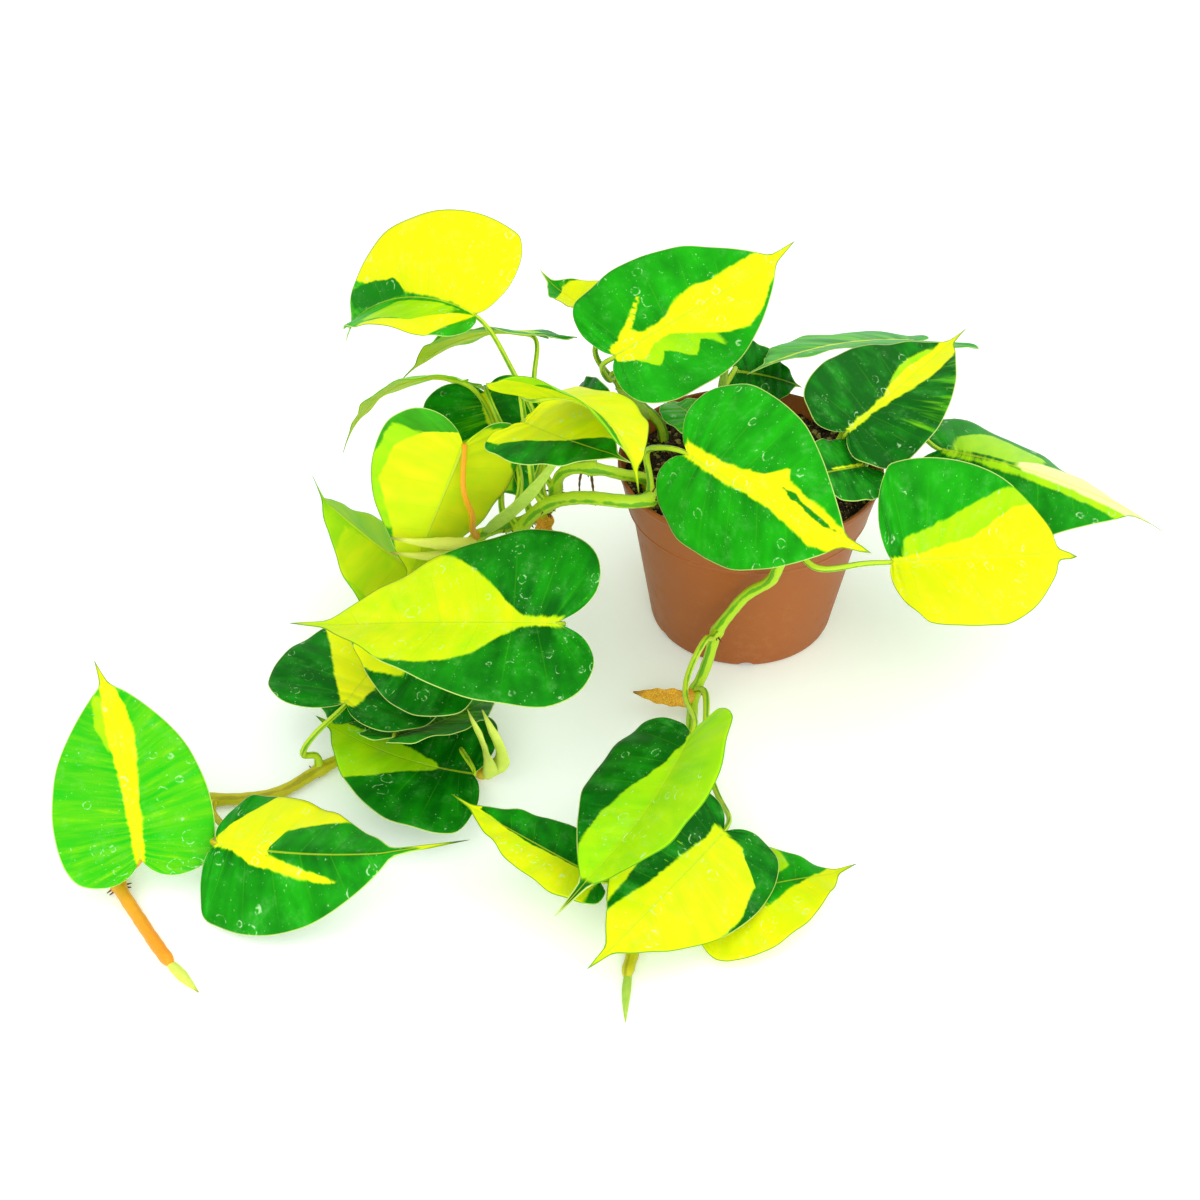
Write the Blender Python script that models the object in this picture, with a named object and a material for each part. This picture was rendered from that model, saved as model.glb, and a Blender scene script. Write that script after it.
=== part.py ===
# Potted heartleaf philodendron: variegated heart-shaped leaves on three trailing vines and three
# short crown stems, in a small plastic nursery pot. The vines hang over the rim and lie on the floor.
# Lengths are written in millimetres and become metres when a mesh is made. +Z is up and the origin
# is the centre of the pot's underside. The front of the plant looks along -Y.

import math

import bmesh
import bpy
import numpy as np

MM = 0.001
GAP = 0.3               # between pieces that touch
SLIVER = 0.04           # edges shorter than this are merged after a Boolean

# Pot: a 12 cm nursery pot
POT_HEIGHT = 87.0
POT_RIM_RADIUS = 60.0
BAND_HEIGHT = 22.5      # the flared band below the rim
BAND_LOW_RADIUS = 55.2
BODY_TOP_RADIUS = 53.6
POT_BASE_RADIUS = 43.0
POT_WALL = 1.4
POT_FLOOR = 3.0
POT_SIDES = 40
NOTCH_COUNT = 6
NOTCH_WIDTH = 7.0
NOTCH_HEIGHT = 1.8
NOTCH_START = 38.5      # distance from the pot's middle
DRAIN_COUNT = 6
DRAIN_RADIUS = 3.5
DRAIN_CIRCLE = 25.0

# Soil
SOIL_TOP = 78.0
SOIL_BUMP = 1.3
SOIL_RINGS = (0.86, 0.66, 0.44, 0.22)   # share of the soil's radius
STEM_HOLE = 0.9         # the soil's holes are this much wider than the stems
STEM_FOOT = 64.0        # height of the stems' lower ends in the soil

# Leaves
LEAF_THICKNESS = 0.8
STALK_SIDES = 5
STALK_STEP = 9.0        # between rings along a stalk
STALK_BASE_RADIUS = 1.7
STALK_TOP_RADIUS = 1.1
MIDRIB_REACH = 0.16     # share of the blade that the stalk runs on below, as the midrib
MIDRIB_END_RADIUS = 0.45
LEAF_TIP = 0.9          # where the drawn-out tip starts, as a share of the length
MIDRIB_STEPS = 40

# Stems
STEM_SIDES = 7
STEM_STEP = 6.0
NODE_SWELL = 0.5        # how much thicker a stem is at a leaf node
NODE_REACH = 4.0        # half the length of that swelling

# Half of a flat leaf's outline, from the stalk round the lobe to the tip: share of the half width,
# share of the length, and the place on the midrib where the side vein that ends there begins
HALF_OUTLINE = (
    (0.00, 0.00, 0.00),
    (0.14, -0.10, 0.00),
    (0.46, -0.17, 0.00),
    (0.80, -0.12, 0.04),
    (0.98, 0.04, 0.10),
    (0.99, 0.26, 0.21),
    (0.87, 0.46, 0.37),
    (0.61, 0.65, 0.55),
    (0.33, 0.80, 0.72),
    (0.09, 0.93, 0.89),
    (0.00, 1.00, 1.00),
)
ACROSS = (-1.0, -0.5, 0.0, 0.5, 1.0)    # columns of points from edge to edge

# Stems: the path of each, with its leaf nodes as indices into the path
STEMS = {
    "stem_left": dict(
        radius=2.6,
        colour="stem",
        nodes=(5, 8, 9, 10, 11, 12, 13, 15, 17, 20, 24),
        path=(
            (-46, -13, 64), (-46, -13, 78), (-48, -14, 86), (-57, -18, 91.5), (-64, -20, 95),
            (-72, -20, 96.5), (-81, -17, 94), (-86, -14, 88), (-88, -13, 80), (-91, -12, 70),
            (-99, -10, 62), (-111, -11, 58), (-124, -14, 54), (-138, -30, 37), (-151, -60, 13),
            (-165, -88, 5), (-178, -104, 3.4), (-189, -113, 3.6), (-204, -126, 3.4),
            (-218, -130, 3.4), (-232, -131, 3.6), (-250, -135, 3.4), (-263, -146, 3.4),
            (-268, -160, 3.4), (-262, -177, 3.6), (-250, -194, 3.2), (-238, -210, 3.0),
            (-233, -216, 2.8),
        ),
    ),
    "stem_middle": dict(
        radius=3.0,
        colour="stem",
        nodes=(3, 7, 8, 9, 11, 13),
        path=(
            (-40, -22, 64), (-40, -22, 78), (-41, -24, 84), (-46, -36, 92), (-52, -41, 94),
            (-68, -39, 94), (-79, -33, 90), (-92, -25, 80), (-104, -20, 62), (-114, -28, 40),
            (-124, -56, 22), (-131, -76, 10), (-129, -93, 4.2), (-124, -106, 4), (-118, -118, 4),
        ),
    ),
    "stem_front": dict(
        radius=2.5,
        colour="stem",
        nodes=(5, 11, 14, 18, 20),
        path=(
            (6, -30, 64), (6, -30, 78), (7, -34, 86), (9, -50, 92), (9, -60, 92),
            (9, -67, 87), (7, -69, 79), (5, -67.5, 72), (-1, -64, 64), (-6, -62, 57),
            (-11, -60.5, 47), (-16, -60.5, 37), (-19, -63.5, 26), (-22, -67, 17), (-25, -70, 10),
            (-27, -82, 4.5), (-29, -98, 3.3), (-38, -131, 3.2), (-46, -165, 3.3),
            (-49, -178, 3.1), (-50, -191, 3.2), (-55, -210, 3), (-58, -222, 2.7),
        ),
    ),
    "stem_crown_right": dict(
        radius=2.4,
        colour="young",
        nodes=(2, 3, 4),
        path=((38, 2, 64), (38, 2, 78), (39, 3, 86), (41, 4, 94), (43, 5, 102)),
    ),
    "stem_crown_back": dict(
        radius=2.4,
        colour="young",
        nodes=(4, 5),
        path=(
            (-38, 28, 64), (-38, 28, 78), (-40, 30, 86), (-49, 34, 94), (-57, 37, 101),
            (-61, 38, 109),
        ),
    ),
    "stem_crown_middle": dict(
        radius=2.2,
        colour="young",
        nodes=(3, 4),
        path=((-12, 20, 64), (-12, 20, 78), (-13, 21, 88), (-14, 23, 98), (-13, 26, 106)),
    ),
}

# Scales, dried sheaths, growing tips and aerial roots: flattened spindles fused to their stem.
# Each runs along its points, widest part way along, and is thinner across than it is wide.
SCALES = {
    "stem_left": (
        dict(points=((-234, -215, 2.8), (-227, -222, 2.6), (-220, -229, 2.2)), width=4.5, flat=0.5),
        dict(points=((-92, -12, 66), (-93, -16, 56), (-86, -18, 50), (-78, -20, 48)),
             width=4.5, flat=0.3),
        dict(points=((-121, -14, 56), (-116, -21, 66), (-104, -27, 82), (-80, -30, 120)),
             width=6.0, flat=0.35),
        dict(points=((-124, -16, 54), (-136, -24, 58), (-162, -29, 65)), width=4.5, flat=0.35),
        dict(points=((-125, -16, 51), (-138, -26, 53), (-162, -32, 59)), width=4.0, flat=0.35),
        dict(points=((-76, -19, 95), (-77, -21, 90), (-77, -22, 84)), width=1.6, flat=1.0),
        dict(points=((-72, -20, 95), (-71, -24, 88), (-70, -25, 80)), width=1.4, flat=1.0),
    ),
    "stem_middle": (
        dict(points=((-118, -117, 4), (-115, -119, 14), (-119, -117, 29), (-123, -116, 42)),
             width=6.0, flat=0.4),
        dict(points=((-118, -117, 4), (-110, -118, 14), (-113, -117, 29), (-117, -116, 42)),
             width=5.0, flat=0.4),
    ),
    "stem_front": (
        dict(points=((-57, -218, 2.7), (-58, -228, 2.3), (-58.5, -242, 1.4)), width=4.4, flat=0.8),
        dict(points=((-25, -70, 9), (-31, -77, 12), (-41, -76, 12), (-53, -71, 10)), width=5.0, flat=0.3),
    ),
    "stem_crown_right": (
        dict(points=((43, 5, 100), (44, 8, 108), (47, 12, 118)), width=4.0, flat=0.5),
    ),
    "stem_crown_back": (
        dict(points=((-44, 32, 89), (-52, 30, 99), (-61, 30, 106)), width=7.0, flat=0.4),
    ),
    "stem_crown_middle": (
        dict(points=((-13, 25, 104), (-12, 28, 112), (-9, 32, 122)), width=4.0, flat=0.5),
        dict(points=((-12, 20, 82), (-20, 15, 87), (-27, 11, 94)), width=5.0, flat=0.5),
    ),
}

# Leaves. stem and node say where the stalk starts, via is what it bends through, and base is where it
# meets the blade. heading, pitch and roll aim the midrib there, in degrees: heading 0 points along +X.
# droop bends the midrib down towards the tip, fold lifts the halves, twist turns the tip about the
# midrib and side bends it in the blade's own plane. lobes scales the two lobes behind the stalk and
# tip draws out the point.
LEAVES = {
    "leaf_pot_front": dict(
        stem="stem_middle", node=3, via=((-48, -29, 108), (-44, -41, 122)), base=(-32, -59, 131),
        heading=310, pitch=0, roll=57, length=85, width=72, droop=20, fold=-19, twist=-7, side=-3,
        lobes=0.95, tip=0.06, colour="green"),
    "leaf_pot_top": dict(
        stem="stem_crown_back", node=5, via=((-63, 31, 110), (-67, 27, 118)), base=(-61, 21, 129),
        heading=24, pitch=20, roll=10, length=93, width=79, droop=5, fold=10, twist=28, side=-7,
        lobes=0.45, tip=0.06, colour="green"),
    "leaf_back_right": dict(
        stem="stem_crown_right", node=3, via=((39, -11, 103),), base=(39, -21, 117),
        heading=49, pitch=5, roll=25, length=88, width=57, droop=0, fold=21, twist=-33, side=0,
        lobes=0.8, tip=0.06, colour="green"),
    "leaf_back_flat": dict(
        stem="stem_crown_right", node=4, via=((61, 40, 106),), base=(84, 82, 100),
        heading=203, pitch=16, roll=22, length=102, width=77, droop=18, fold=6, twist=10, side=-18,
        lobes=1.2, tip=0.06, colour="green"),
    "leaf_right": dict(
        stem="stem_front", node=5, via=((20, -76, 87), (38, -76, 87)), base=(55, -71, 85),
        heading=13, pitch=-6, roll=27, length=90, width=75, droop=13, fold=34, twist=20, side=-4,
        lobes=0.4, tip=0.06, colour="yellow"),
    "leaf_far_right": dict(
        stem="stem_crown_right", node=4, via=((62, 2, 112),), base=(87, 4, 90),
        heading=342, pitch=0, roll=15, length=96, width=73, droop=16, fold=-22, twist=-24, side=10,
        lobes=0.8, tip=0.08, colour="green"),
    "leaf_pot_small": dict(
        stem="stem_crown_right", node=2, via=((42, -14, 99),), base=(44, -36, 109),
        heading=208, pitch=10, roll=-12, length=40, width=36, droop=-7, fold=5, twist=-16, side=-11,
        lobes=1.1, tip=0.06, colour="dark"),
    "leaf_pot_back": dict(
        stem="stem_crown_middle", node=4, via=((-6, 38, 111),), base=(-3, 46, 105),
        heading=19, pitch=-18, roll=48, length=39, width=32, droop=22, fold=0, twist=-4, side=6,
        lobes=1.0, tip=0.06, colour="dark"),
    "leaf_pot_young": dict(
        stem="stem_crown_middle", node=3, via=((-17, 13, 105),), base=(-23, 5, 103),
        heading=115, pitch=0, roll=0, length=36, width=28, droop=30, fold=14, twist=0, side=0,
        lobes=1.0, tip=0.06, colour="green"),
    "leaf_left_high": dict(
        stem="stem_left", node=10, via=((-97, 2, 76), (-109, 25, 122)), base=(-124, 33, 143),
        heading=148, pitch=11, roll=-15, length=87, width=74, droop=64, fold=34, twist=-11, side=-25,
        lobes=0.55, tip=0.06, colour="yellow"),
    "leaf_left_edge": dict(
        stem="stem_left", node=9, via=((-89, 5, 97), (-98, 27, 111)), base=(-99, 46, 125),
        heading=148, pitch=-7, roll=28, length=76, width=48, droop=49, fold=8, twist=-2, side=-2,
        lobes=1.2, tip=0.06, colour="green"),
    "leaf_left_lime": dict(
        stem="stem_left", node=11, via=((-114, 18, 70), (-121, 32, 95)), base=(-131, 30, 110),
        heading=165, pitch=9, roll=37, length=69, width=77, droop=87, fold=4, twist=-18, side=8,
        lobes=0.5, tip=0.06, colour="yellow"),
    "leaf_left_dark": dict(
        stem="stem_middle", node=8, via=((-106, -11, 70), (-107, 10, 82), (-117, 19, 104)), base=(-121, 42, 95),
        heading=331, pitch=-72, roll=74, length=63, width=63, droop=11, fold=24, twist=-7, side=6,
        lobes=0.95, tip=0.06, colour="dark"),
    "leaf_left_under": dict(
        stem="stem_left", node=12, via=((-125, -26, 76), (-128, -26, 93)), base=(-128, -14, 105),
        heading=200, pitch=-67, roll=91, length=74, width=68, droop=6, fold=24, twist=5, side=-5,
        lobes=0.85, tip=0.06, colour="yellow"),
    "leaf_left_raised": dict(
        stem="stem_left", node=13, via=(), base=(-144, -10, 19),
        heading=173, pitch=38, roll=174, length=82, width=61, droop=24, fold=25, twist=9, side=12,
        lobes=0.8, tip=0.06, colour="yellow"),
    "leaf_left_front": dict(
        stem="stem_middle", node=9, via=((-101, -49, 46), (-91, -77, 57)), base=(-86, -100, 76),
        heading=175, pitch=-3, roll=-20, length=107, width=86, droop=6, fold=13, twist=33, side=-1,
        lobes=0.95, tip=0.06, colour="green"),
    "leaf_left_low": dict(
        stem="stem_middle", node=11, via=((-122, -88, 34),), base=(-121, -93, 48),
        heading=153, pitch=2, roll=-21, length=68, width=64, droop=9, fold=15, twist=-25, side=-12,
        lobes=0.8, tip=0.06, colour="green"),
    "leaf_floor_left": dict(
        stem="stem_left", node=17, via=((-194, -114, 13), (-191, -115, 23)), base=(-177, -98, 29),
        heading=66, pitch=1, roll=-2, length=72, width=82, droop=2, fold=7, twist=1, side=-1,
        lobes=0.85, tip=0.06, colour="green"),
    "leaf_floor_inner": dict(
        stem="stem_middle", node=11, via=((-142, -82, 20), (-151, -104, 26)), base=(-154, -117, 27),
        heading=36, pitch=-12, roll=-29, length=60, width=46, droop=-6, fold=10, twist=12, side=-18,
        lobes=0.95, tip=0.06, colour="green"),
    "leaf_floor_small": dict(
        stem="stem_left", node=15, via=(), base=(-166, -87, 14),
        heading=155, pitch=2, roll=-28, length=38, width=28, droop=19, fold=14, twist=-45, side=-11,
        lobes=1.2, tip=0.06, colour="green"),
    "leaf_floor_front": dict(
        stem="stem_middle", node=13, via=(), base=(-122, -124, 12),
        heading=171, pitch=1, roll=3, length=72, width=76, droop=-9, fold=7, twist=6, side=25,
        lobes=0.5, tip=0.06, colour="dark"),
    "leaf_end_large": dict(
        stem="stem_left", node=24, via=(), base=(-252, -173, 14),
        heading=106, pitch=34, roll=7, length=83, width=61, droop=11, fold=23, twist=-5, side=-4,
        lobes=0.7, tip=0.06, colour="green"),
    "leaf_end_front": dict(
        stem="stem_left", node=20, via=((-222, -152, 8),), base=(-218, -178, 29),
        heading=340, pitch=7, roll=23, length=79, width=58, droop=9, fold=-27, twist=-4, side=-20,
        lobes=0.4, tip=0.3, colour="green"),
    "leaf_front_large": dict(
        stem="stem_front", node=11, via=((-22, -77, 47), (-30, -96, 46), (-32, -120, 49)),
        base=(-32, -146, 57), heading=243, pitch=-20, roll=43, length=83, width=70, droop=-20, fold=17,
        twist=-34, side=5, lobes=0.5, tip=0.12, colour="yellow"),
    "leaf_front_behind": dict(
        stem="stem_front", node=18, via=((-56, -173, 10),), base=(-70, -188, 21),
        heading=153, pitch=11, roll=14, length=62, width=40, droop=-4, fold=7, twist=-1, side=-2,
        lobes=0.75, tip=0.06, colour="yellow"),
    "leaf_front_lower": dict(
        stem="stem_front", node=14, via=((-22, -98, 12), (-17, -144, 14)), base=(-19, -170, 27),
        heading=234, pitch=2, roll=-23, length=81, width=61, droop=5, fold=-1, twist=3, side=2,
        lobes=0.8, tip=0.06, colour="yellow"),
    "leaf_front_right": dict(
        stem="stem_front", node=20, via=((-41, -197, 10),), base=(-25, -188, 7),
        heading=11, pitch=11, roll=6, length=60, width=60, droop=28, fold=5, twist=-24, side=-7,
        lobes=0.8, tip=0.08, colour="yellow"),
    "leaf_rim_left": dict(
        stem="stem_middle", node=7, via=((-98, -21, 92), (-102, -13, 130)), base=(-94, -37, 144),
        heading=332, pitch=27, roll=-30, length=71, width=64, droop=77, fold=15, twist=-25, side=15,
        lobes=0.45, tip=0.06, colour="yellow"),
    "leaf_rim_below": dict(
        stem="stem_left", node=8, via=((-87, -7, 105),), base=(-100, -28, 126),
        heading=314, pitch=7, roll=5, length=59, width=48, droop=-5, fold=6, twist=3, side=-5,
        lobes=0.4, tip=0.06, colour="yellow"),
    "leaf_rim_dark": dict(
        stem="stem_left", node=5, via=((-71, -8, 96),), base=(-70, 3, 100),
        heading=124, pitch=15, roll=-55, length=45, width=36, droop=60, fold=13, twist=6, side=0,
        lobes=1.2, tip=0.06, colour="dark"),
    "leaf_back_left": dict(
        stem="stem_crown_back", node=4, via=((-70, 51, 111), (-67, 50, 120)), base=(-50, 59, 118),
        heading=145, pitch=0, roll=30, length=62, width=52, droop=-18, fold=25, twist=-36, side=5,
        lobes=1.1, tip=0.06, colour="green"),
}

COLOURS = {
    "pot": ((0.42, 0.12, 0.05), 0.45),
    "soil": ((0.035, 0.022, 0.014), 0.95),
    "stem": ((0.33, 0.36, 0.05), 0.5),
    "young": ((0.30, 0.48, 0.06), 0.45),
    "green": ((0.05, 0.26, 0.02), 0.4),
    "dark": ((0.02, 0.13, 0.02), 0.4),
    "yellow": ((0.62, 0.68, 0.02), 0.4),
}


def clear_scene():
    for thing in list(bpy.data.objects):
        bpy.data.objects.remove(thing)


def make_material(name, kind):
    colour, roughness = COLOURS[kind]
    material = bpy.data.materials.new(name)
    material.use_nodes = True
    shader = material.node_tree.nodes["Principled BSDF"]
    shader.inputs["Base Color"].default_value = (*colour, 1.0)
    shader.inputs["Roughness"].default_value = roughness
    shader.inputs["Metallic"].default_value = 0.0
    material.diffuse_color = (*colour, 1.0)
    return material


def make_object(name, points, faces):
    # points in millimetres
    mesh = bpy.data.meshes.new(name)
    mesh.from_pydata([tuple(float(c) * MM for c in point) for point in points], [], faces)
    made = bpy.data.objects.new(name, mesh)
    bpy.context.scene.collection.objects.link(made)
    return made


def finish(made, kind, smooth_angle=40):
    made.data.materials.clear()
    made.data.materials.append(make_material(made.name, kind))
    made.data.shade_smooth()
    made.data.set_sharp_from_angle(angle=math.radians(smooth_angle))
    return made


def merge_slivers(mesh):
    # a Boolean can leave needle faces and points a few hundredths of a millimetre apart
    shape = bmesh.new()
    shape.from_mesh(mesh)
    bmesh.ops.triangulate(shape, faces=shape.faces)
    bmesh.ops.dissolve_degenerate(shape, edges=shape.edges, dist=SLIVER * MM)
    bmesh.ops.triangulate(shape, faces=shape.faces)
    shape.to_mesh(mesh)
    shape.free()


def combine(body, others, operation):
    # one Boolean on a collection, applied, and the collection's objects removed. Where the exact
    # solver loses a thin blade's faces, the manifold solver takes its place.
    group = bpy.data.collections.new(body.name + "_pieces")
    bpy.context.scene.collection.children.link(group)
    for other in others:
        group.objects.link(other)
        bpy.context.scene.collection.objects.unlink(other)
    modifier = body.modifiers.new("combine", "BOOLEAN")
    modifier.operation = operation
    modifier.operand_type = "COLLECTION"
    modifier.collection = group
    modifier.solver = "EXACT"
    depsgraph = bpy.context.evaluated_depsgraph_get()
    result = bpy.data.meshes.new_from_object(body.evaluated_get(depsgraph))
    if len(result.polygons) < len(body.data.polygons):
        modifier.solver = "MANIFOLD"
        depsgraph.update()
        result = bpy.data.meshes.new_from_object(body.evaluated_get(depsgraph))
    body.modifiers.clear()
    merge_slivers(result)
    body.data = result
    for other in others:
        bpy.data.objects.remove(other)
    bpy.data.collections.remove(group)
    return body


def unit(vector):
    return vector / np.linalg.norm(vector)


# Curves through points

def smooth_path(points, step):
    # a natural cubic curve through the points, read every step millimetres or so, ends included
    points = np.array(points, dtype=float)
    if len(points) == 2:
        points = np.array([points[0], points.mean(axis=0), points[1]])
    reach = np.linalg.norm(np.diff(points, axis=0), axis=1)
    knots = np.concatenate([[0.0], np.cumsum(reach)])
    count = len(points)
    matrix = np.eye(count)
    right = np.zeros((count, 3))
    for i in range(1, count - 1):
        before, after = knots[i] - knots[i - 1], knots[i + 1] - knots[i]
        matrix[i, i - 1:i + 2] = (before, 2 * (before + after), after)
        right[i] = 6 * ((points[i + 1] - points[i]) / after - (points[i] - points[i - 1]) / before)
    bend = np.linalg.solve(matrix, right)
    rings = max(2, int(round(knots[-1] / step)))
    result = []
    for place in np.linspace(0, knots[-1], rings + 1):
        i = min(int(np.searchsorted(knots, place, side="right")) - 1, count - 2)
        span = knots[i + 1] - knots[i]
        a, b = (knots[i + 1] - place) / span, (place - knots[i]) / span
        curve = ((a ** 3 - a) * bend[i] + (b ** 3 - b) * bend[i + 1]) * span ** 2 / 6
        result.append(a * points[i] + b * points[i + 1] + curve)
    return np.array(result)


def tube(name, path, radii, sides, flat=1.0):
    # a closed tube: its frame is carried along the path so that it doesn't twist
    tangents = np.gradient(path, axis=0)
    side = np.cross(tangents[0], (0.0, 0.0, 1.0))
    if np.linalg.norm(side) < 1e-3 * np.linalg.norm(tangents[0]):
        side = np.array((1.0, 0.0, 0.0))
    points = []
    for centre, tangent, radius in zip(path, tangents, radii):
        tangent = unit(tangent)
        side = unit(side - tangent * side.dot(tangent))
        across = np.cross(tangent, side)
        for k in range(sides):
            angle = 2 * math.pi * k / sides
            points.append(centre + radius * (math.cos(angle) * side + flat * math.sin(angle) * across))
    faces = []
    for ring in range(len(path) - 1):
        for k in range(sides):
            a, b = ring * sides + k, ring * sides + (k + 1) % sides
            faces.append((a, b, b + sides, a + sides))
    last = (len(path) - 1) * sides
    faces.append(tuple(range(sides - 1, -1, -1)))
    faces.append(tuple(range(last, last + sides)))
    return make_object(name, points, faces)


# Pot and soil

def revolve(name, profile, sides, bump=None):
    # profile runs from the axis at the bottom round the outside and back to the axis. bump gives a
    # height to add at a point, from its x, y and height.
    points = []
    rings = []
    for radius, height in profile:
        if radius == 0:
            rings.append([len(points)])
            points.append((0.0, 0.0, height))
            continue
        rings.append(list(range(len(points), len(points) + sides)))
        for k in range(sides):
            angle = 2 * math.pi * k / sides
            x, y = radius * math.cos(angle), radius * math.sin(angle)
            points.append((x, y, height + (bump(x, y, height) if bump else 0.0)))
    faces = []
    for low, high in zip(rings, rings[1:]):
        for k in range(sides):
            n = (k + 1) % sides
            if len(low) == 1:
                faces.append((low[0], high[n], high[k]))
            elif len(high) == 1:
                faces.append((low[k], low[n], high[0]))
            else:
                faces.append((low[k], low[n], high[n], high[k]))
    return make_object(name, points, faces)


BAND_LOW = POT_HEIGHT - BAND_HEIGHT
CORNER = 2.2            # the rounding between the pot's wall and its floor


def inner_radius(height):
    # the inside of the pot's wall
    if height >= BAND_LOW:
        share = (height - BAND_LOW) / BAND_HEIGHT
        return BAND_LOW_RADIUS + share * (POT_RIM_RADIUS - BAND_LOW_RADIUS) - POT_WALL
    share = height / (BAND_LOW - 1.5)
    return POT_BASE_RADIUS + share * (BODY_TOP_RADIUS - POT_BASE_RADIUS) - POT_WALL


def build_pot():
    outside = [
        (0.0, 0.0),
        (POT_BASE_RADIUS - CORNER, 0.0),
        (POT_BASE_RADIUS - 0.5, 0.5),
        (POT_BASE_RADIUS + 0.3, CORNER),
        (BODY_TOP_RADIUS, BAND_LOW - 1.0),
        (BAND_LOW_RADIUS, BAND_LOW),
        (POT_RIM_RADIUS - 0.3, POT_HEIGHT - 1.2),
        (POT_RIM_RADIUS, POT_HEIGHT - 0.5),
        (POT_RIM_RADIUS - 0.4, POT_HEIGHT),
    ]
    inside = [
        (POT_RIM_RADIUS - POT_WALL, POT_HEIGHT),
        (inner_radius(BAND_LOW + 0.5), BAND_LOW + 0.5),
        (inner_radius(BAND_LOW - 1.5), BAND_LOW - 1.5),
        (inner_radius(POT_FLOOR + CORNER), POT_FLOOR + CORNER),
        (inner_radius(POT_FLOOR) - 1.2, POT_FLOOR),
        (0.0, POT_FLOOR),
    ]
    pot = revolve("pot", outside + inside, POT_SIDES)
    cutters = []
    for k in range(NOTCH_COUNT):
        angle = 2 * math.pi * (k + 0.5) / NOTCH_COUNT
        along = np.array((math.cos(angle), math.sin(angle), 0.0))
        across = np.array((-along[1], along[0], 0.0)) * NOTCH_WIDTH / 2
        near, far = along * NOTCH_START, along * (POT_BASE_RADIUS + 4)
        up = np.array((0.0, 0.0, NOTCH_HEIGHT))
        low = np.array((0.0, 0.0, -1.0))
        corners = [near - across + low, far - across + low, far + across + low, near + across + low,
                   near - across * 0.7 + up, far - across * 0.7 + up, far + across * 0.7 + up,
                   near + across * 0.7 + up]
        faces = [(3, 2, 1, 0), (4, 5, 6, 7), (0, 1, 5, 4), (1, 2, 6, 5), (2, 3, 7, 6), (3, 0, 4, 7)]
        cutters.append(make_object("notch", corners, faces))
    for k in range(DRAIN_COUNT):
        angle = 2 * math.pi * k / DRAIN_COUNT
        x, y = DRAIN_CIRCLE * math.cos(angle), DRAIN_CIRCLE * math.sin(angle)
        hole = np.array([(x, y, -1.0), (x, y, POT_FLOOR / 2), (x, y, POT_FLOOR + 1)])
        cutters.append(tube("drain", hole, [DRAIN_RADIUS] * 3, 10))
    combine(pot, cutters, "DIFFERENCE")
    finish(pot, "pot", 30)


def soil_bump(x, y, height):
    # crumbly ground on top only: three crossing waves, level where it meets the wall
    if height < SOIL_TOP:
        return 0.0
    waves = math.sin(x * 0.31 + 1.0) + math.sin(y * 0.37 - x * 0.12) + math.sin((x + y) * 0.19 + 2.0)
    edge = min(1.0, (POT_RIM_RADIUS - math.hypot(x, y)) / 12.0)
    return SOIL_BUMP * edge * waves / 2


def build_soil():
    floor = POT_FLOOR + GAP
    top = inner_radius(SOIL_TOP) - GAP - 0.1
    outside = [
        (0.0, floor),
        (inner_radius(POT_FLOOR) - 1.2 - GAP, floor),
        (inner_radius(POT_FLOOR + CORNER) - GAP - 0.1, POT_FLOOR + CORNER + 0.1),
        (inner_radius(BAND_LOW - 1.5) - GAP - 0.1, BAND_LOW - 1.4),
        (inner_radius(BAND_LOW + 0.5) - GAP - 0.1, BAND_LOW + 0.6),
        (top, SOIL_TOP - 0.5),
    ]
    crown = [(top * share, SOIL_TOP) for share in SOIL_RINGS]
    soil = revolve("soil", outside + crown + [(0.0, SOIL_TOP)], POT_SIDES, soil_bump)
    holes = []
    for stem in STEMS.values():
        x, y, z = stem["path"][0]
        radius = stem["radius"] + STEM_HOLE
        hole = np.array([(x, y, STEM_FOOT - 2 * GAP), (x, y, SOIL_TOP), (x, y, SOIL_TOP + 12)])
        holes.append(tube("stem_hole", hole, [radius] * 3, 10))
    combine(soil, holes, "DIFFERENCE")
    finish(soil, "soil", 60)


# Stems

def stem_radius(stem, place):
    # thicker at the leaf nodes, thinner over the last stretch
    radius = stem["radius"]
    for node in stem["nodes"]:
        distance = np.linalg.norm(place - np.array(stem["path"][node], dtype=float))
        radius += NODE_SWELL * max(0.0, 1.0 - distance / NODE_REACH)
    return radius


def build_stem(name):
    stem = STEMS[name]
    path = smooth_path(stem["path"], STEM_STEP)
    body = tube(name, path, [stem_radius(stem, place) for place in path], STEM_SIDES)
    spindles = []
    for scale in SCALES[name]:
        line = smooth_path(scale["points"], 5.0)
        share = np.linspace(0.0, 1.0, len(line))
        width = scale["width"] / 2 * (0.25 + 0.75 * np.sin(math.pi * np.clip(share * 0.92 + 0.08, 0, 1)))
        spindles.append(tube(name + "_scale", line, width, 6, scale["flat"]))
    combine(body, spindles, "UNION")
    finish(body, stem["colour"])


# Leaves

def leaf_frame(leaf):
    # across, along and up of the blade where the stalk meets it
    heading, pitch, roll = (math.radians(leaf[key]) for key in ("heading", "pitch", "roll"))
    level_reach = math.cos(pitch)
    along = np.array((level_reach * math.cos(heading), level_reach * math.sin(heading), math.sin(pitch)))
    level = np.array((math.sin(heading), -math.cos(heading), 0.0))
    lift = np.cross(level, along)
    across = level * math.cos(roll) - lift * math.sin(roll)
    up = lift * math.cos(roll) + level * math.sin(roll)
    return across, along, up


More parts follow.
